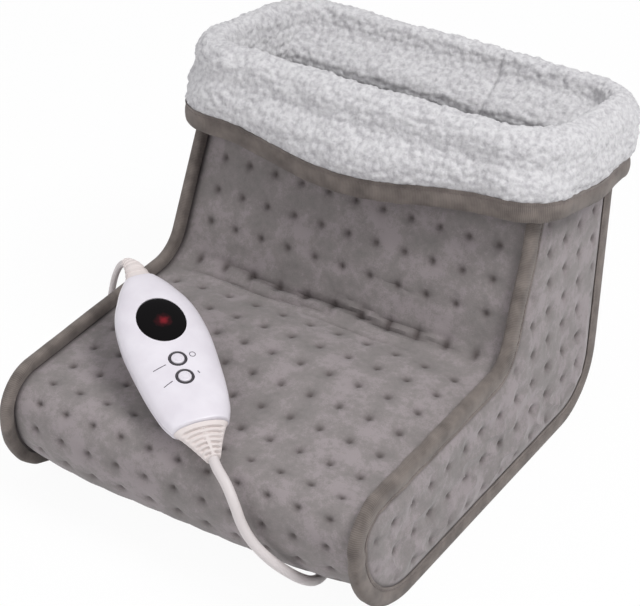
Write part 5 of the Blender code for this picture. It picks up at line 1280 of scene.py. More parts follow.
def layer(name, depth, thickness, finish, slot):
    """A slab along the sole between two depths, its upper face slightly uneven."""
    along = rows_between(TOE_END + GAP, HEEL_START - GAP, LAYER_STEP)
    shares = np.linspace(-1.0, 1.0, round(2 * seam_x(0.03) / LAYER_STEP))
    offset = np.full(len(shares), SIDE_STEP)
    outer = strip_points(along, shares, offset, np.full((len(along), len(shares)), depth))
    dips = 0.00012 * (1 + soft_noise(outer, 0.015, 91))
    inner = strip_points(along, shares, offset, depth + thickness - dips)
    made = piece(name, "boot", finish, slab(outer, inner), name.rsplit("_", 1)[0], slot=slot)


outer, inner, _ = padded_strip(TOE_END + GAP, HEEL_START - GAP, SOLE_CROWN, plain_sole)
sole = piece("sole_panel_cloth", "boot", non_slip_cloth(), slab(outer, inner), "sole_panel",
             slot="non_slip_cloth")
layer("sole_foam_sheet", STACK, FOAM_T, FOAM, "foam")
layer("heating_pad_felt", STACK + FOAM_T + GAP, HEATING_PAD_T, FELT, "heater_felt")

# %% [markdown]
# ## The hand controller's shells
# The controller is two glossy ABS mouldings that meet on a flat parting plane. Each is a loft: half
# ovals |y/a|^2.5 + |z/b|^2.5 = 1, whose a and b follow smooth curves along the controller. The same
# loft, drawn in by the wall's thickness, is its inside. Holes are cut afterwards, because a round
# hole through a curved wall is the one thing that a grid can't give.

# %% Where the controller lies
CONTROLLER_LENGTH = 0.1330
CONTROLLER_WIDTH = 0.0590
CONTROLLER_CROWN = 0.0125
CONTROLLER_BELLY = 0.0118
CONTROLLER_WALL = 0.0022
CONTROLLER_PLACE = (-0.0427, 0.0630, 0.1145)
HEADING = math.radians(-37.0)
TILT = math.radians(14.0)
TIP_OVER = np.array(((math.cos(TILT), 0.0, math.sin(TILT)), (0.0, 1.0, 0.0),
                     (-math.sin(TILT), 0.0, math.cos(TILT))))
TURN_ROUND = np.array(((math.cos(HEADING), -math.sin(HEADING), 0.0),
                       (math.sin(HEADING), math.cos(HEADING), 0.0), (0.0, 0.0, 1.0)))


def on_controller(points):
    """The controller's own places in the part's frame: tipped about Y, turned about Z, moved."""
    return np.asarray(points, float) @ (TURN_ROUND @ TIP_OVER).T + placed(CONTROLLER_PLACE)


# %% The controller's sizes along its length
STATIONS = (-1.0, -0.93, -0.85, -0.74, -0.60, -0.45, -0.27, -0.08, 0.12, 0.34, 0.54, 0.72, 0.87,
            1.0)
HALF_WIDTHS = (0.36, 0.47, 0.58, 0.70, 0.84, 0.93, 0.98, 1.0, 0.98, 0.94, 0.895, 0.83, 0.755, 0.63)
CROWNS = (0.56, 0.65, 0.73, 0.82, 0.91, 0.96, 0.99, 1.0, 0.99, 0.97, 0.94, 0.90, 0.85, 0.74)
BELLIES = (0.60, 0.68, 0.77, 0.86, 0.95, 1.0, 1.03, 1.02, 0.99, 0.95, 0.90, 0.85, 0.79, 0.68)
SECTION_POWER = 2.5


def half_width_at(x):
    """Half the controller's width at x."""
    return CONTROLLER_WIDTH / 2 * through(x / (CONTROLLER_LENGTH / 2), STATIONS, HALF_WIDTHS)


def face_height(x, y, table=CROWNS, depth=CONTROLLER_CROWN):
    """How far the skin stands off the parting plane: b (1 - |y/a|^n)^(1/n)."""
    inside = np.clip(1.0 - np.abs(y / half_width_at(x)) ** SECTION_POWER, 0.0, 1.0)
    crown = depth * through(x / (CONTROLLER_LENGTH / 2), STATIONS, table)
    return crown * inside ** (1 / SECTION_POWER)


# %% Shell surfaces
SHELL_ROWS = 130
SHELL_COLUMNS = 61
END_ROUND = 0.0011
END_CLOSER_SHARE = 0.6
CAP_SHARES = (0.0, 0.4, 0.75)


def superellipse(angles, power):
    """The rim's two coordinates: sgn(v) |v|^(2/n) of the angle's cosine and of its sine."""
    return [np.sign(v) * np.abs(v) ** (2 / power) for v in (np.cos(angles), np.sin(angles))]


def shell_half(table, depth, sign):
    """Skin and inside of one moulding, each closed at its ends by rows drawn in to the axis."""
    share = closer_at_ends(SHELL_ROWS, END_CLOSER_SHARE)
    across, up = superellipse(np.linspace(0.0, math.pi, SHELL_COLUMNS), SECTION_POWER)
    near_end = np.clip(1 - (1 - np.abs(share)) * CONTROLLER_LENGTH / 2 / END_ROUND, 0.0, 1.0)
    rounding = END_ROUND * (1 - np.sqrt(1 - near_end**2))
    half = CONTROLLER_WIDTH / 2 * through(share, STATIONS, HALF_WIDTHS) - rounding
    tall = depth * through(share, STATIONS, table) - rounding
    grids = []
    for wall in (0.0, CONTROLLER_WALL):
        x = np.repeat((share * (CONTROLLER_LENGTH / 2 - wall))[:, None], SHELL_COLUMNS, axis=1)
        y = (half - wall)[:, None] * -across
        z = sign * (GAP / 2 + (tall - wall)[:, None] * up)
        skin = np.stack((x, y, z), axis=-1)
        caps = []
        for end_row in (skin[0], skin[-1]):
            axis = np.array((end_row[0, 0], 0.0, sign * GAP / 2))
            caps.append(np.stack([axis + s * (end_row - axis) for s in CAP_SHARES]))
        grids.append(on_controller(np.concatenate((caps[0], skin, caps[1][::-1]))))
    return slab(*grids)


def turned(profile, sides, centre=(0.0, 0.0), stretch=1.0):
    """A profile of (radius, height) carried round an upright axis: x = s r cos a, y = r sin a."""
    radius, height = np.asarray(profile, float).T[..., None]
    angles = np.arange(sides) * math.tau / sides
    return np.stack((centre[0] + stretch * radius * np.cos(angles),
                     centre[1] + radius * np.sin(angles), height + 0 * angles), axis=-1)


def rod(radius, low, high):
    """The profile of a plain closed rod."""
    return ((0.0, low), (radius, low), (radius, high), (0.0, high))


def carve(target, tools):
    """Join or cut closed tools, each (operation, grid), with exact Booleans applied at once."""
    made = []
    for operation, (vertices, quads, _) in tools:
        mesh = bpy.data.meshes.new("tool")
        mesh.from_pydata(vertices.tolist(), [], quads.tolist())
        welded(mesh)
        tool = linked("tool", mesh)
        step = target.modifiers.new(operation.lower(), "BOOLEAN")
        step.operation = operation
        step.solver = "EXACT"
        step.object = tool
        made.append(tool)
    bpy.context.view_layer.update()
    graph = bpy.context.evaluated_depsgraph_get()
    solid = bpy.data.meshes.new_from_object(target.evaluated_get(graph))
    target.modifiers.clear()
    solid.name = target.name
    target.data = solid
    solid.set_sharp_from_angle(angle=math.radians(38.0))
    for tool in made:
        bpy.data.objects.remove(tool, do_unlink=True)


# %% Moulded ABS
# Injection-moulded ABS is satin white with a faint lilac cast. Handling makes it glossier in soft
# patches of 16 mm, and the mould's spark texture gives a grain of 1.1 mm.
ABS = mottled("moulded_abs_satin", "ded9e0", 0.34, ((0.016, 3.0, 0.5), (0.0011, 1.0, 0.5)),
              ((0.3, "d9d4db"), (0.7, "e2dee4")), ((1, 0.00003, 0.4),), (0.30, 0.42),
              Coat_Weight=0.12, Coat_Roughness=0.25)

# %% Both shells, with their holes and bosses
DISPLAY_X = -0.0190
DISPLAY_RADIUS = 0.0157
DISPLAY_STRETCH = 1.24
BUTTON_X = {"power": 0.0165, "level": 0.0318}
BEZEL_RADIUS = 0.0059
SCREW_SHARES = ((-0.76, 0.0), (0.76, 0.38), (0.76, -0.38))
SCREW_HEAD_RADIUS = 0.0026
SCREW_HEAD_T = 0.0016
SCREW_HOLE_RADIUS = 0.0015
SCREW_REACH = 0.0050
SCREW_TIP_ROOM = 0.0011
HEAD_HOLE_START = -0.02
BOSS_RADIUS = 0.0042
LOWER_NECK_RADIUS = 0.0039
UPPER_NECK_RADIUS = 0.0030
OVERRUN = 0.004


def controller_tool(operation, profile, sides, centre=(0.0, 0.0), stretch=1.0):
    """A turned tool that stands on the controller."""
    points = on_controller(turned(profile, sides, centre, stretch))
    return operation, grid(points, wrap_columns=True)


def neck_tool(side, radius):
    """A rod along the controller's axis through one end: the turned grid's x and z swapped."""
    points = turned(rod(radius, -OVERRUN, OVERRUN), 24)[..., ::-1]
    points = points + np.array((side * CONTROLLER_LENGTH / 2, 0.0, 0.0))
    return "DIFFERENCE", grid(on_controller(points), wrap_columns=True)


top_tools, low_tools = [], []
for along_share, across_share in SCREW_SHARES:
    x = along_share * CONTROLLER_LENGTH / 2
    y = across_share * float(half_width_at(np.array(x)))
    flank = np.array(abs(y) + BOSS_RADIUS)
    roof = float(face_height(x, flank)) - CONTROLLER_WALL / 2
    floor_z = CONTROLLER_WALL / 2 - float(face_height(x, flank, BELLIES, CONTROLLER_BELLY))
    belly = float(face_height(x, np.array(0.0), BELLIES, CONTROLLER_BELLY))
    seat = SCREW_HEAD_T + CONTROLLER_WALL - belly
    top_tools.append(controller_tool("UNION", rod(BOSS_RADIUS, GAP, roof), 20, (x, y)))
    low_tools.append(controller_tool("UNION", rod(BOSS_RADIUS, floor_z, -GAP), 20, (x, y)))
    hole = rod(SCREW_HOLE_RADIUS, -OVERRUN, SCREW_REACH + SCREW_TIP_ROOM)
    top_tools.append(controller_tool("DIFFERENCE", hole, 16, (x, y)))
    head = SCREW_HEAD_RADIUS + GAP
    stepped = ((0.0, HEAD_HOLE_START), (head, HEAD_HOLE_START), (head, seat),
               (SCREW_HOLE_RADIUS, seat), (SCREW_HOLE_RADIUS, OVERRUN), (0.0, OVERRUN))
    low_tools.append(controller_tool("DIFFERENCE", stepped, 24, (x, y)))
HOLE_TOP = CONTROLLER_CROWN + OVERRUN
hole = rod(DISPLAY_RADIUS + GAP, CONTROLLER_WALL, HOLE_TOP)
top_tools.append(controller_tool("DIFFERENCE", hole, 96, (DISPLAY_X, 0.0), DISPLAY_STRETCH))
hole = rod(BEZEL_RADIUS + GAP, CONTROLLER_WALL, HOLE_TOP)
top_tools += [controller_tool("DIFFERENCE", hole, 40, (x, 0.0)) for x in BUTTON_X.values()]
necks = [neck_tool(1, LOWER_NECK_RADIUS + GAP), neck_tool(-1, UPPER_NECK_RADIUS + GAP)]
top_shell = piece("controller_face_shell", "boot", ABS, shell_half(CROWNS, CONTROLLER_CROWN, 1),
                  "controller_top_shell", slot="controller_abs")
carve(top_shell, top_tools + necks)
low_shell = piece("controller_rear_shell", "boot", ABS, shell_half(BELLIES, CONTROLLER_BELLY, -1),
                  "controller_bottom_shell", slot="controller_abs")
carve(low_shell, low_tools + necks)
print("shells", len(top_shell.data.polygons), "and", len(low_shell.data.polygons), "faces")

# %% [markdown]
# ## Display, buttons and marks
# The display is a domed oval window, glossy and nearly black, with a dim red glow behind it. Each
# button is a white cap in a dark ring, and moves into the face when it is pressed. Two thin lines
# point at the buttons from one side, and two small marks stand on the other, without any words.

# %% Display window
WINDOW_T = 0.0018
WINDOW_DOME = 0.0011
GLOW_SPOT = (-0.0178, 0.0010, 0.0125)
GLOW_REACH = 0.0085


def smoked_window():
    """Smoked polycarbonate: almost black and very smooth, with a dim red light behind it."""
    made, tree, shader = plain_finish("smoked_polycarbonate", "050304", 0.05,
                                      Specular_IOR_Level=0.16, Emission_Strength=1.0)
    place = node(tree, "ShaderNodeTexCoord").outputs["Object"]
    spot = tuple(on_controller(GLOW_SPOT))
    apart = node(tree, "ShaderNodeVectorMath", {0: place, 1: spot}, operation="DISTANCE")
    share = node(tree, "ShaderNodeMath", {0: apart.outputs["Value"], 1: 1 / GLOW_REACH},
                 operation="MULTIPLY")
    cloud, = noises(tree, (0.003, 2.0, 0.5))
    uneven = node(tree, "ShaderNodeMath", {0: cloud, 1: 0.5, 2: share.outputs[0]},
                  operation="MULTIPLY_ADD")
    lay_on(tree, shader, uneven.outputs[0],
           ((0.34, "7a1a24"), (1.10, "000000"), (0.70, "34090f")), (), "Emission Color")
    return made


window_edge = float(face_height(DISPLAY_X, np.array(0.0))) - WINDOW_DOME
radii = DISPLAY_RADIUS * np.sin(np.linspace(0.0, 1.0, 26) * math.pi / 2)
dome = window_edge + WINDOW_DOME * (1 - (radii / DISPLAY_RADIUS) ** 2.2) ** 0.68
profile = np.vstack((np.column_stack((radii, dome)),
                     ((DISPLAY_RADIUS, window_edge - WINDOW_T), (0.0, window_edge - WINDOW_T))))
lens = on_controller(turned(profile, 96, (DISPLAY_X, 0.0), DISPLAY_STRETCH))
piece("display_lens", "boot", smoked_window(), grid(lens, wrap_columns=True), "display_window",
      slot="display_window")

# %% Buttons and their rings
BUTTON_RADIUS = 0.0043
BUTTON_FLANGE_RADIUS = 0.0056
BUTTON_STEM_RADIUS = 0.0022
BUTTON_TRAVEL = 0.0008
BEZEL_FLANGE_RADIUS = 0.0071
BEZEL_FLANGE_T = 0.0009
ROOF_DROP = 0.0006
BOARD_TOP = -0.0008
SWITCH_HEIGHT = 0.0041
SWITCH_TOP = BOARD_TOP + GAP + SWITCH_HEIGHT
CAP_FLANGE_T = 0.0010
CAP_FACE = (
    # radius, rise over the face: a low dome with a groove round its middle
    (0.0, 0.0010), (0.0016, 0.0010), (0.0020, 0.0009), (0.0022, 0.0006), (0.0026, 0.0006),
    (0.0029, 0.0009), (0.0037, 0.0009), (0.0041, 0.0006), (BUTTON_RADIUS, 0.0002),
)

# Moulded matt rubber is dark grey, with a fine grain.
RUBBER = mottled("matt_moulded_rubber", "39353a", 0.62, ((0.0009, 2.0, 0.5),),
                 ((0.3, "332f34"), (0.7, "433f44")), ((0, 0.00006, 0.5),))
for word, x in BUTTON_X.items():
    top = float(face_height(x, np.array(0.0)))
    under = top - CONTROLLER_WALL - ROOF_DROP - GAP
    low = under - BEZEL_FLANGE_T
    bore = BUTTON_RADIUS + GAP
    ring = ((bore, low), (BEZEL_FLANGE_RADIUS, low), (BEZEL_FLANGE_RADIUS, under),
            (BEZEL_RADIUS, under), (BEZEL_RADIUS, top + 0.0001),
            (BEZEL_RADIUS - 0.0003, top + 0.0004), (bore + 0.0004, top + 0.0004),
            (bore, top + 0.0001))
    piece(f"button_ring_{word}", "boot", RUBBER,
          grid(on_controller(turned(ring, 48, (x, 0.0))), wrap_rows=True, wrap_columns=True),
          f"bezel_{word}", slot="dark_keypad")
    stem_low = SWITCH_TOP + BUTTON_TRAVEL + GAP
    flange_low = low - GAP - CAP_FLANGE_T
    cap = (*((radius, top + rise) for radius, rise in CAP_FACE), (BUTTON_RADIUS, low - GAP),
           (BUTTON_FLANGE_RADIUS, low - GAP), (BUTTON_FLANGE_RADIUS, flange_low),
           (BUTTON_STEM_RADIUS, flange_low), (BUTTON_STEM_RADIUS, stem_low), (0.0, stem_low))
    piece(f"button_cap_{word}", f"{word}_button", ABS,
          grid(on_controller(turned(cap, 40, (x, 0.0))), wrap_columns=True), f"button_{word}",
          slot="controller_abs")

# %% Printed lines and marks
PRINT_T = 0.00008
PRINTED_LINES = (
    ((0.0216, -0.0177), (0.0194, -0.0087), 0.0006), ((0.0363, -0.0151), (0.0334, -0.0086), 0.0006),
    ((0.0292, 0.0092), (0.0312, 0.0100), 0.0007),
)
PRINTED_RING = (0.0151, 0.0102, 0.0019, 0.0005)


def printed_band(middle, across):
    """A thin slab on the controller's face: a line's points, widened both ways across it."""
    edges = np.stack((middle - across, middle + across), axis=1)
    z = face_height(edges[..., 0], edges[..., 1]) + GAP / 2
    return [on_controller(np.concatenate((edges, (z + rise)[..., None]), axis=-1))
            for rise in (PRINT_T, -PRINT_T / 2)]


PRINT = plain_finish("pad_printed_ink", "57525a", 0.6)[0]
marks = []
for start, end, width in PRINTED_LINES:
    start, end = np.array(start), np.array(end)
    t = np.linspace(0.0, 1.0, 14)[:, None]
    way = (end - start) / np.linalg.norm(end - start)
    side_way = np.array((-way[1], way[0])) * width / 2
    marks.append(slab(*printed_band(start + t * (end - start), side_way)))
x, y, radius, width = PRINTED_RING
angles = np.linspace(0.0, math.tau, 33)[:-1, None]
spoke = np.hstack((np.cos(angles), np.sin(angles)))
faces = printed_band(np.array((x, y)) + radius * spoke, spoke * width / 2)
section = np.concatenate((faces[0], faces[1][:, ::-1]), axis=1)
marks.append(grid(section, wrap_rows=True, wrap_columns=True))
piece("printed_marks", "boot", PRINT, joined(*marks), slot="dark_keypad")

# %% [markdown]
# ## Cords and reliefs
# A cord is one line of points, thickened. The line is a centripetal spline through a few places,
# read again at an even step. Where a cord leaves the controller, a soft ribbed relief guides it,
# and its rings follow the same line.

# %% Lines


def spaced(points, step):
    """A line's points read again at an even step."""
    return even(points, max(2, round(run_along(points)[-1] / step) + 1))


def smooth_route(points, step):
    """Centripetal Catmull-Rom: its knots are spaced by the root of the distance between points."""
    knots = np.asarray(points, float)
    ends = np.vstack((2 * knots[0] - knots[1], knots, 2 * knots[-1] - knots[-2]))
    dense = []
    for p0, p1, p2, p3 in zip(ends[:-3], ends[1:-2], ends[2:-1], ends[3:]):
        t0 = 0.0
        t1, t2, t3 = np.cumsum([math.sqrt(np.linalg.norm(b - a))
                                for a, b in ((p0, p1), (p1, p2), (p2, p3))])
        t = np.linspace(t1, t2, 24, endpoint=False)[:, None]
        a1 = (t1 - t) / (t1 - t0) * p0 + (t - t0) / (t1 - t0) * p1
        a2 = (t2 - t) / (t2 - t1) * p1 + (t - t1) / (t2 - t1) * p2
        a3 = (t3 - t) / (t3 - t2) * p2 + (t - t2) / (t3 - t2) * p3
        b1 = (t2 - t) / (t2 - t0) * a1 + (t - t0) / (t2 - t0) * a2
        b2 = (t3 - t) / (t3 - t1) * a2 + (t - t1) / (t3 - t1) * a3
        dense.append((t2 - t) / (t2 - t1) * b1 + (t - t1) / (t2 - t1) * b2)
    return spaced(np.vstack((*dense, knots[-1:])), step)


def split_line(points, length):
    """A line cut at a length along it."""
    along = run_along(points)
    at = read_at(length, along, points)
    return np.vstack((points[along < length], at)), np.vstack((at, points[along > length]))


def swept(line, wide, tall, across):
    """Oval rings square to a line: half sizes wide along a given way and tall square to it."""
    tangent = np.gradient(line, axis=0)
    tangent /= np.linalg.norm(tangent, axis=1)[:, None]
    side_way = across - (tangent @ across)[:, None] * tangent
    side_way /= np.linalg.norm(side_way, axis=1)[:, None]
    other = np.cross(tangent, side_way)
    angles = np.arange(wide.shape[1]) * math.tau / wide.shape[1]
    return (line[:, None] + (wide * np.cos(angles))[..., None] * side_way[:, None]
            + (tall * np.sin(angles))[..., None] * other[:, None])


def closed_rings(rings):
    """Rings with a middle point at each end, so that the tube is closed."""
    first = np.broadcast_to(rings[0].mean(axis=0), rings[0].shape)
    last = np.broadcast_to(rings[-1].mean(axis=0), rings[-1].shape)
    return grid(np.concatenate((first[None], rings, last[None])), wrap_columns=True)


# %% Cord and relief finishes


def soft_pvc(name, colour, roughness):
    """Soft PVC, slightly glossy, glossier in patches where it is handled."""
    return mottled(name, colour, roughness, ((0.010, 3.0, 0.5), (0.0012, 1.0, 0.5)),
                   bumps=((1, 0.00003, 0.4),), rough=(roughness - 0.06, roughness + 0.08),
                   Specular_IOR_Level=0.4)


CORD_PVC = soft_pvc("soft_pvc_cord", "d2cbca", 0.46)
RELIEF_PVC = soft_pvc("cream_moulded_pvc", "d9d0cd", 0.52)

# %% Strain reliefs on the controller
HEATER_CORD_D = 0.0046
MAINS_CORD_D = 0.0068
LOWER_HEAD_RADIUS = 0.0046
LOWER_RELIEF_LENGTH = 0.0250
LOWER_RELIEF_ROOT = (0.0178, 0.0076)
LOWER_RELIEF_TIP = 0.0048
UPPER_HEAD_RADIUS = 0.0040
UPPER_RELIEF_LENGTH = 0.0280
UPPER_RELIEF_ROOT = (0.0098, 0.0055)
UPPER_RELIEF_TIP = 0.0034
UPPER_RELIEF_STRAIGHT = 0.0060
UPPER_RELIEF_SEAT = 0.0006
RELIEF_SIDES = 56
RELIEF_ROWS = 96


def tapered(shares, root, tip):
    """Half sizes that shrink from root to tip with the share's power 0.8, softened at the tip."""
    round_off = 0.0008 * np.clip((shares - 0.96) / 0.04, 0.0, 1.0) ** 2
    return [base + (tip - base) * shares**0.8 - round_off for base in root]


def slots(shares, count, start):
    """From 0 to 1 in each of several even slots along a relief."""
    wave = np.cos((shares - start) / (1.0 - start) * count * math.tau)
    return np.clip(0.5 - 1.6 * wave, 0.0, 1.0) * (shares > start)


def stepped_root(head, neck, wall_at, end):
    """Places and radii of the head inside the wall and the neck through it."""
    return (np.array((wall_at - OVERRUN / 2, wall_at, wall_at, end)),
            np.array((head, head, neck, neck)))


LOWER_SLOT_DEPTH = 0.0019
SPINE_HALF, SPINE_BLEND = 0.0011, 0.0006
FACE_SINE, FACE_BLEND = 0.30, 0.15
shares = np.linspace(0.0, 1.0, RELIEF_ROWS)
wide, tall = tapered(shares, LOWER_RELIEF_ROOT, LOWER_RELIEF_TIP)
angles = np.arange(RELIEF_SIDES) * math.tau / RELIEF_SIDES
from_spine = np.abs(wide[:, None] * np.cos(angles)) - SPINE_HALF
beside_spine = np.clip(from_spine / SPINE_BLEND, 0.0, 1.0)
on_face = np.clip((np.abs(np.sin(angles)) - FACE_SINE) / FACE_BLEND, 0.0, 1.0)
groove = LOWER_SLOT_DEPTH * slots(shares, 6, 0.10)[:, None] * beside_spine * on_face
end = CONTROLLER_LENGTH / 2
root_x, root_r = stepped_root(LOWER_HEAD_RADIUS, LOWER_NECK_RADIUS,
                              end - CONTROLLER_WALL - GAP, end + GAP)
line = np.concatenate((root_x, end + GAP + shares * LOWER_RELIEF_LENGTH))
line = np.column_stack((line, 0 * line, 0 * line))
wides = np.vstack((np.repeat(root_r[:, None], RELIEF_SIDES, axis=1), wide[:, None] - groove))
talls = np.vstack((np.repeat(root_r[:, None], RELIEF_SIDES, axis=1), tall[:, None] - groove))
rings = line[:, None] + np.stack((0 * wides, wides * np.cos(angles), talls * np.sin(angles)),
                                 axis=-1)
piece("cord_relief_lower", "boot", RELIEF_PVC, closed_rings(on_controller(rings)),
      "strain_relief_lower", slot="cream_relief", sharp_deg=50.0)

# %% Heater cord and its relief
OUTLET_Y = 0.252
OUTLET_Z = 0.0289
OUTLET_SLEEVE_LENGTH = 0.030
OUTLET_SLEEVE_RADIUS = 0.0047
HEATER_END_RUN = 0.0092
WIRE_D = 0.0022
SLOT_DEPTH = 0.0008
HIDDEN_END = 0.0004
HEATER_ROUTE = (
    (-0.1050, 0.1095, 0.1335), (-0.1160, 0.1165, 0.1300), (-0.1262, 0.1228, 0.1215),
    (-0.1350, 0.1280, 0.1085), (-0.1420, 0.1322, 0.0930), (-0.1475, 0.1345, 0.0740),
    (-0.1510, 0.1348, 0.0500), (-0.1550, 0.1310, 0.0250), (-0.1610, 0.1200, 0.0080),
    (-0.1700, 0.1090, 0.0024), (-0.1830, 0.1080, 0.0024), (-0.1910, 0.1200, 0.0024),
    (-0.1900, 0.1380, 0.0024), (-0.1830, 0.1560, 0.0030), (-0.1720, 0.1740, 0.0080),
    (-0.1590, 0.1900, 0.0180), (-0.1505, 0.2030, 0.0260),
)


def line_length(line):
    """Length of a line of points."""
    return float(run_along(line)[-1])


def cord_along(name, line, diameter, finish, nodes, **facts):
    """A curve of one open spline, thickened to a diameter; its length and thickness are printed."""
    data = bpy.data.curves.new(name, "CURVE")
    data.dimensions = "3D"
    spline = data.splines.new("POLY")
    spline.points.add(len(line) - 1)
    spline.points.foreach_set("co", np.column_stack((line, np.ones(len(line)))).ravel())
    data.bevel_depth = diameter / 2
    data.bevel_resolution = 5
    data.use_fill_caps = True
    data.materials.append(finish)
    made = linked(name, data)
    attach(made, "boot")
    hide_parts(*nodes)
    print(f"{name}: {line_length(line) * 1000:.0f} mm long, {diameter * 1000:.1f} mm thick")
    return made


upper_end = on_controller((-CONTROLLER_LENGTH / 2, 0.0, 0.0))
up_way = on_controller((0.0, 0.0, 0.0)) - on_controller((1.0, 0.0, 0.0))
outlet_x = -(seam_x(OUTLET_Z) + EDGE_T + SIDE_CROWN + 2 * GAP + OUTLET_SLEEVE_RADIUS)
tip = placed((outlet_x, OUTLET_Y - OUTLET_SLEEVE_LENGTH, OUTLET_Z))
straight = UPPER_RELIEF_STRAIGHT * up_way
whole = smooth_route([upper_end, upper_end + straight / 2, upper_end + straight,
                      *placed(HEATER_ROUTE), tip - np.array((0.0, HEATER_END_RUN, 0.0)), tip],
                     WIRE_D / 2)
body, _ = split_line(whole, UPPER_RELIEF_LENGTH)
body = spaced(body, UPPER_RELIEF_LENGTH / (RELIEF_ROWS - 1))
body_shares = np.linspace(0.0, 1.0, len(body))
body = body + UPPER_RELIEF_SEAT * np.outer(1.0 - body_shares, up_way)
wall_back = (CONTROLLER_WALL + GAP + OVERRUN / 2, CONTROLLER_WALL + GAP, CONTROLLER_WALL, -GAP / 2)
neck = upper_end - np.outer(wall_back, up_way)
wide, tall = tapered(body_shares, UPPER_RELIEF_ROOT, UPPER_RELIEF_TIP)
groove = SLOT_DEPTH * slots(body_shares, 6, 0.10)
neck_radii = np.array((UPPER_HEAD_RADIUS, UPPER_HEAD_RADIUS, UPPER_NECK_RADIUS, UPPER_NECK_RADIUS))
sizes = [np.repeat(np.concatenate((neck_radii, size - groove))[:, None], 40, axis=1)
         for size in (wide, tall)]
rings = swept(np.vstack((neck, body)), *sizes, np.cross(up_way, (0.0, 0.0, 1.0)))
piece("cord_relief_upper", "boot", RELIEF_PVC, closed_rings(rings), "strain_relief_upper",
      slot="cream_relief", sharp_deg=50.0)
_, free = split_line(whole, UPPER_RELIEF_LENGTH - HIDDEN_END)
free, _ = split_line(free, line_length(free) - GAP)
cord_along("heater_cord_pvc", spaced(free, 0.0030), HEATER_CORD_D, CORD_PVC, ("heater_cord",),
           far_end="object", stiffness="medium")

# %% [markdown]
# ## Mains cord, coil and plug
# The mains cord leaves the controller's lower end, hangs over the toe, passes under the boot and
# comes out behind it. There it is wound in two layers of three turns, held by a strap, and ends
# in a flat two-pin plug. The winding is a spiral: its radius falls by one pitch a turn, then grows.

# %% Plug
PLUG_LENGTH = 0.0355
PLUG_HALF_WIDTH = 0.0130
PLUG_HALF_HEIGHT = 0.0069
PLUG_SHARES = np.array(((0.0, 0.48, 0.80), (0.16, 0.60, 0.92), (0.42, 0.84, 1.0), (0.62, 1.0, 1.0),
                        (1.0, 1.0, 1.0)))
PLUG_CORNER_POWER = 4.0
PLUG_AXIS_Z = 0.0072
PLUG_NECK_RADIUS = 0.0036
PLUG_NECK_LENGTH = 0.0060
PLUG_RELIEF_LENGTH = 0.0240
PLUG_RELIEF_ROOT = (0.0056, 0.0052)
PLUG_RELIEF_TIP = 0.0044
PIN_RADIUS = 0.0020
PIN_LENGTH = 0.0190
PIN_SPREAD = 0.0186
PIN_ROOT = 0.0080
PLUG_EDGE = 0.0014
GRIP_SHARES = (0.14, 0.56)
GRIP_WAVES = 13.0
GRIP_DEPTH = 0.0004


def rings_on_x(x, wide, tall, sides, middle_y=0.0, power=2.0):
    """Superellipse rings square to the x axis: y = w sgn(cos a) |cos a|^(2/n), z likewise."""
    angles = np.arange(sides) * math.tau / sides
    across, up = superellipse(angles, power)
    x, wide, tall = (np.asarray(part, float)[:, None] for part in (x, wide, tall))
    return np.stack((x + 0 * across, middle_y + wide * across, tall * up), axis=-1)


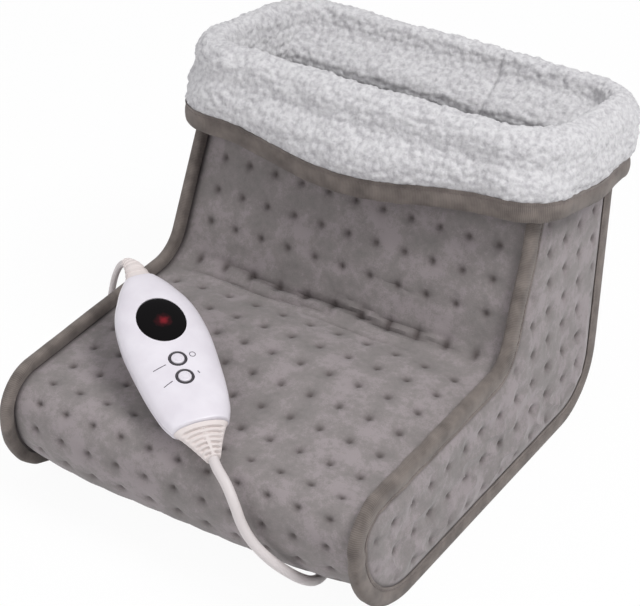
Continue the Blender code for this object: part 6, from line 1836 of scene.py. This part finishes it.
def plug_pieces(end):
    """Body, relief and pins. The plug points towards -X, so its own x and y turn round."""
    def turn(points):
        return np.asarray(end) - np.array((GAP, 0.0, 0.0)) + points * np.array((-1.0, -1.0, 1.0))

    nickel = plain_finish("nickel_plated_brass", "c9c7c4", 0.24, Metallic=1.0)[0]
    made = []
    shares = np.linspace(1.0, 0.0, 80)
    wide, tall = tapered(shares, PLUG_RELIEF_ROOT, PLUG_RELIEF_TIP)
    groove = SLOT_DEPTH * slots(shares, 5, 0.10)
    root = (PLUG_RELIEF_LENGTH, PLUG_RELIEF_LENGTH + PLUG_NECK_LENGTH)
    x = np.concatenate((PLUG_RELIEF_LENGTH * (1 - shares), root))
    sizes = [np.concatenate((size - groove, (PLUG_NECK_RADIUS,) * 2)) for size in (wide, tall)]
    rings = closed_rings(turn(rings_on_x(x, *sizes, 40)))
    made.append(piece("plug_relief", "boot", RELIEF_PVC, rings, "plug_strain_relief",
                      slot="cream_relief", sharp_deg=50.0))
    back = PLUG_RELIEF_LENGTH + GAP
    share = np.concatenate((np.linspace(0.0, 0.06, 9), np.linspace(0.08, 0.94, 44),
                            np.linspace(0.96, 1.0, 7)))
    near = np.clip(1 - np.minimum(share, 1 - share) * PLUG_LENGTH / PLUG_EDGE, 0.0, 1.0)
    soft = PLUG_EDGE * (1 - np.sqrt(1 - near**2))
    gripped = (share > GRIP_SHARES[0]) & (share < GRIP_SHARES[1])
    grip = GRIP_DEPTH * np.clip(np.cos(share * GRIP_WAVES * math.tau), 0.0, 1.0) * gripped
    wide = PLUG_HALF_WIDTH * through(share, PLUG_SHARES[:, 0], PLUG_SHARES[:, 1]) - soft
    tall = PLUG_HALF_HEIGHT * through(share, PLUG_SHARES[:, 0], PLUG_SHARES[:, 2]) - soft - grip
    rings = rings_on_x(back + share * PLUG_LENGTH, wide, tall, 64, power=PLUG_CORNER_POWER)
    body = piece("plug_moulding", "boot", RELIEF_PVC, closed_rings(turn(rings)), "plug_body",
                 slot="cream_relief", sharp_deg=50.0)
    front = back + PLUG_LENGTH
    neck_end = PLUG_RELIEF_LENGTH + PLUG_NECK_LENGTH + GAP
    holes = [(back - OVERRUN, neck_end, PLUG_NECK_RADIUS + GAP, 0.0)]
    for word, y in (("1", -PIN_SPREAD / 2), ("2", PIN_SPREAD / 2)):
        start = front - PIN_ROOT
        tip = front + PIN_LENGTH
        turns = np.linspace(0.0, math.pi / 2, 8)
        x = np.concatenate(((start,), tip - PIN_RADIUS * (1 - np.sin(turns))))
        radius = np.concatenate(((PIN_RADIUS,), PIN_RADIUS * (0.35 + 0.65 * np.cos(turns))))
        rings = closed_rings(turn(rings_on_x(x, radius, radius, 28, y)))
        made.append(piece(f"pin_{word}", "boot", nickel, rings, f"plug_pin_{word}",
                          slot="plated_metal"))
        holes.append((start - GAP, front + OVERRUN, PIN_RADIUS + GAP, y))
    tools = [("DIFFERENCE", closed_rings(turn(rings_on_x((near_x, far_x), (r, r), (r, r), 28, y))))
             for near_x, far_x, r, y in holes]
    carve(body, tools)
    return [body, *made]


# %% Mains cord, coil and strap
MAINS_ROUTE = (
    (0.0450, -0.0008, 0.0862), (0.0535, -0.0048, 0.0770), (0.0592, -0.0060, 0.0655),
    (0.0665, -0.0056, 0.0545), (0.0770, -0.0032, 0.0440), (0.0862, 0.0040, 0.0325),
    (0.0905, 0.0150, 0.0207), (0.0905, 0.0285, 0.0105), (0.0880, 0.0430, 0.0050),
    (0.0830, 0.0590, 0.0036), (0.0740, 0.0880, 0.0036), (0.0600, 0.1300, 0.0036),
    (0.0460, 0.1800, 0.0036), (0.0350, 0.2350, 0.0036), (0.0300, 0.2900, 0.0036),
    (0.0289, 0.3500, 0.0040), (0.0289, 0.4000, 0.0052),
)
CORD_STEP = 0.0040
LEAST_APART = 0.0004
COIL_TURNS_PER_LAYER = 3
COIL_INNER_RADIUS = 0.0265
COIL_PITCH = 0.0075
COIL_LIFT = 0.0074
COIL_POINTS = 72
COIL_CENTRE = (-0.0200, 0.4550)
COIL_Z = 0.0054
COIL_REVERSAL_SHARE = 0.12
COIL_CLIMB_TURNS = 0.5
COIL_EXIT_SHARES = ((0.30, 0.0), (0.60, 0.30), (0.80, 0.75), (1.0, 1.0))
COIL_EXIT_LENGTH = 0.046
TIE_PLACE_DEG = 215.0
TIE_WIDTH = 0.009
TIE_T = 0.0012
TIE_SLACK = 0.0010
TIE_CORNER = 0.0030


def coil_points():
    """Radius r0 + pitch hypot(turns from the middle, 0.12); in the middle it climbs 3t^2 - 2t^3."""
    turns = COIL_TURNS_PER_LAYER
    turned_by = np.linspace(0.0, 2 * turns + 0.25, round((2 * turns + 0.25) * COIL_POINTS) + 1)
    radius = COIL_INNER_RADIUS + COIL_PITCH * np.hypot(turned_by - turns, COIL_REVERSAL_SHARE)
    t = np.clip((turned_by - turns) / COIL_CLIMB_TURNS + 0.5, 0.0, 1.0)
    z = COIL_Z + COIL_LIFT * t * t * (3 - 2 * t)
    angle = turned_by * math.tau
    x = COIL_CENTRE[0] + radius * np.cos(angle)
    y = COIL_CENTRE[1] + radius * np.sin(angle)
    wound = np.column_stack((x, y, z))
    last = wound[-1]
    leg = [(last[0] - COIL_EXIT_LENGTH * share, last[1], last[2] + (PLUG_AXIS_Z - last[2]) * drop)
           for share, drop in COIL_EXIT_SHARES]
    leg.append((leg[-1][0] - MAINS_CORD_D, last[1], PLUG_AXIS_Z))
    first = wound[0] - np.array((0.0, MAINS_CORD_D, 0.0))
    return placed(first), placed(wound), placed(leg)


away = -up_way
relief_tip = on_controller((CONTROLLER_LENGTH / 2, 0.0, 0.0)) + away * (LOWER_RELIEF_LENGTH + GAP)
coil_first, wound, leg = coil_points()
exit_point = relief_tip + away * GAP
route = [exit_point, exit_point + away * MAINS_CORD_D, *placed(MAINS_ROUTE),
         coil_first - np.array((0.0, MAINS_CORD_D + GAP, 0.0)),
         coil_first - np.array((0.0, GAP, 0.0))]
tail = smooth_route([wound[-1] - (wound[-1] - wound[-2]), wound[-1], *leg], CORD_STEP)[1:]
mains_line = np.vstack((relief_tip - away * HIDDEN_END, smooth_route(route, CORD_STEP), wound,
                        tail))
apart = np.linalg.norm(np.diff(mains_line, axis=0), axis=1)
mains_line = mains_line[np.concatenate(((True,), apart > LEAST_APART))]
on_cord = plug_pieces(leg[-1])


def strap_loop():
    """A strap round the turns: a rounded rectangle in section, one loop inside the other."""
    outer = COIL_INNER_RADIUS + COIL_PITCH * COIL_TURNS_PER_LAYER + MAINS_CORD_D / 2 + TIE_SLACK
    inner = COIL_INNER_RADIUS - MAINS_CORD_D / 2 - TIE_SLACK
    low = COIL_Z - MAINS_CORD_D / 2 - GAP
    high = COIL_Z + COIL_LIFT + MAINS_CORD_D / 2 + GAP
    place = math.radians(TIE_PLACE_DEG)
    out = np.array((math.cos(place), math.sin(place), 0.0))
    along = np.array((-math.sin(place), math.cos(place), 0.0)) * TIE_WIDTH / 2
    loops = []
    for grown in (0.0, TIE_T):
        radius = TIE_CORNER + grown
        corners = ((outer - TIE_CORNER, high - TIE_CORNER, 0.0),
                   (inner + TIE_CORNER, high - TIE_CORNER, 90.0),
                   (inner + TIE_CORNER, low + TIE_CORNER, 180.0),
                   (outer - TIE_CORNER, low + TIE_CORNER, 270.0))
        line = []
        for reach, height, turn in corners:
            a = np.radians(np.linspace(turn, turn + 90.0, 9))
            line.append(np.column_stack((reach + radius * np.cos(a), height + radius * np.sin(a))))
        flat = np.vstack(line)
        loops.append(np.array((*COIL_CENTRE, 0.0)) + flat[:, :1] * out
                     + flat[:, 1:] * np.array((0, 0, 1.0)))
    near, far = loops
    return placed(np.stack((near - along, far - along, far + along, near + along), axis=1))


on_cord.append(piece("coil_strap", "boot", RUBBER, grid(strap_loop(), True, True), "coil_tie",
                     slot="dark_keypad"))
cord_along("mains_cord_pvc", mains_line, MAINS_CORD_D, CORD_PVC, ("mains_cord", "mains_cord_coil"),
           far_end="plug", stiffness="medium", lay="coiled", with_pieces=on_cord)

# %% [markdown]
# ## The pieces that stay as the CAD drew them
# Board, module, switches, screws, outlet, wire and thermal cut-outs are simple shapes that stay
# hidden or small. They keep the CAD's meshes and get finishes of their own.

# %% Finishes for the kept pieces


def brushed_metal(name, colour, roughness):
    """Bare or plated metal with a fine grain."""
    return mottled(name, colour, roughness, ((0.0006, 2.0, 0.5),), bumps=((0, 0.00002, 0.5),),
                   Metallic=1.0)


KEPT = (
    # Green solder mask over copper is semi-gloss, with faint tracks.
    ("circuit_board", mottled("solder_mask_green", "1f5a33", 0.32, ((0.0030, 1.0, 0.5),),
                              ((0.48, "1b5230"), (0.52, "2a6d40")), Coat_Weight=0.3)),
    ("display_module", plain_finish("black_module_housing", "151316", 0.45)[0]),
    ("tact_switch", brushed_metal("stamped_steel_can", "b9b9bb", 0.35)),
    ("switch_plunger", plain_finish("black_nylon", "1b1a1c", 0.5)[0]),
    ("controller_screw", brushed_metal("zinc_plated_steel", "c4c3c0", 0.32)),
    ("cord_outlet", RELIEF_PVC),
    ("heating_wire", plain_finish("silicone_wire_red", "b4482f", 0.55,
                                  Specular_IOR_Level=0.35)[0]),
    ("inner_lead", plain_finish("silicone_lead", "a9432d", 0.55, Specular_IOR_Level=0.35)[0]),
    ("thermal_cutout", brushed_metal("drawn_aluminium_case", "b4b3b1", 0.4)),
)
kept_nodes = [name for name, node_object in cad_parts.items() if not node_object.hide_render]
for name in kept_nodes:
    finish = next((finish for start, finish in KEPT if name.startswith(start)), None)
    if finish is None:
        print("no finish for", name)
        continue
    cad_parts[name].material_slots[0].material = finish
print(len(kept_nodes), "CAD nodes keep their own shapes:", ", ".join(sorted(kept_nodes)))
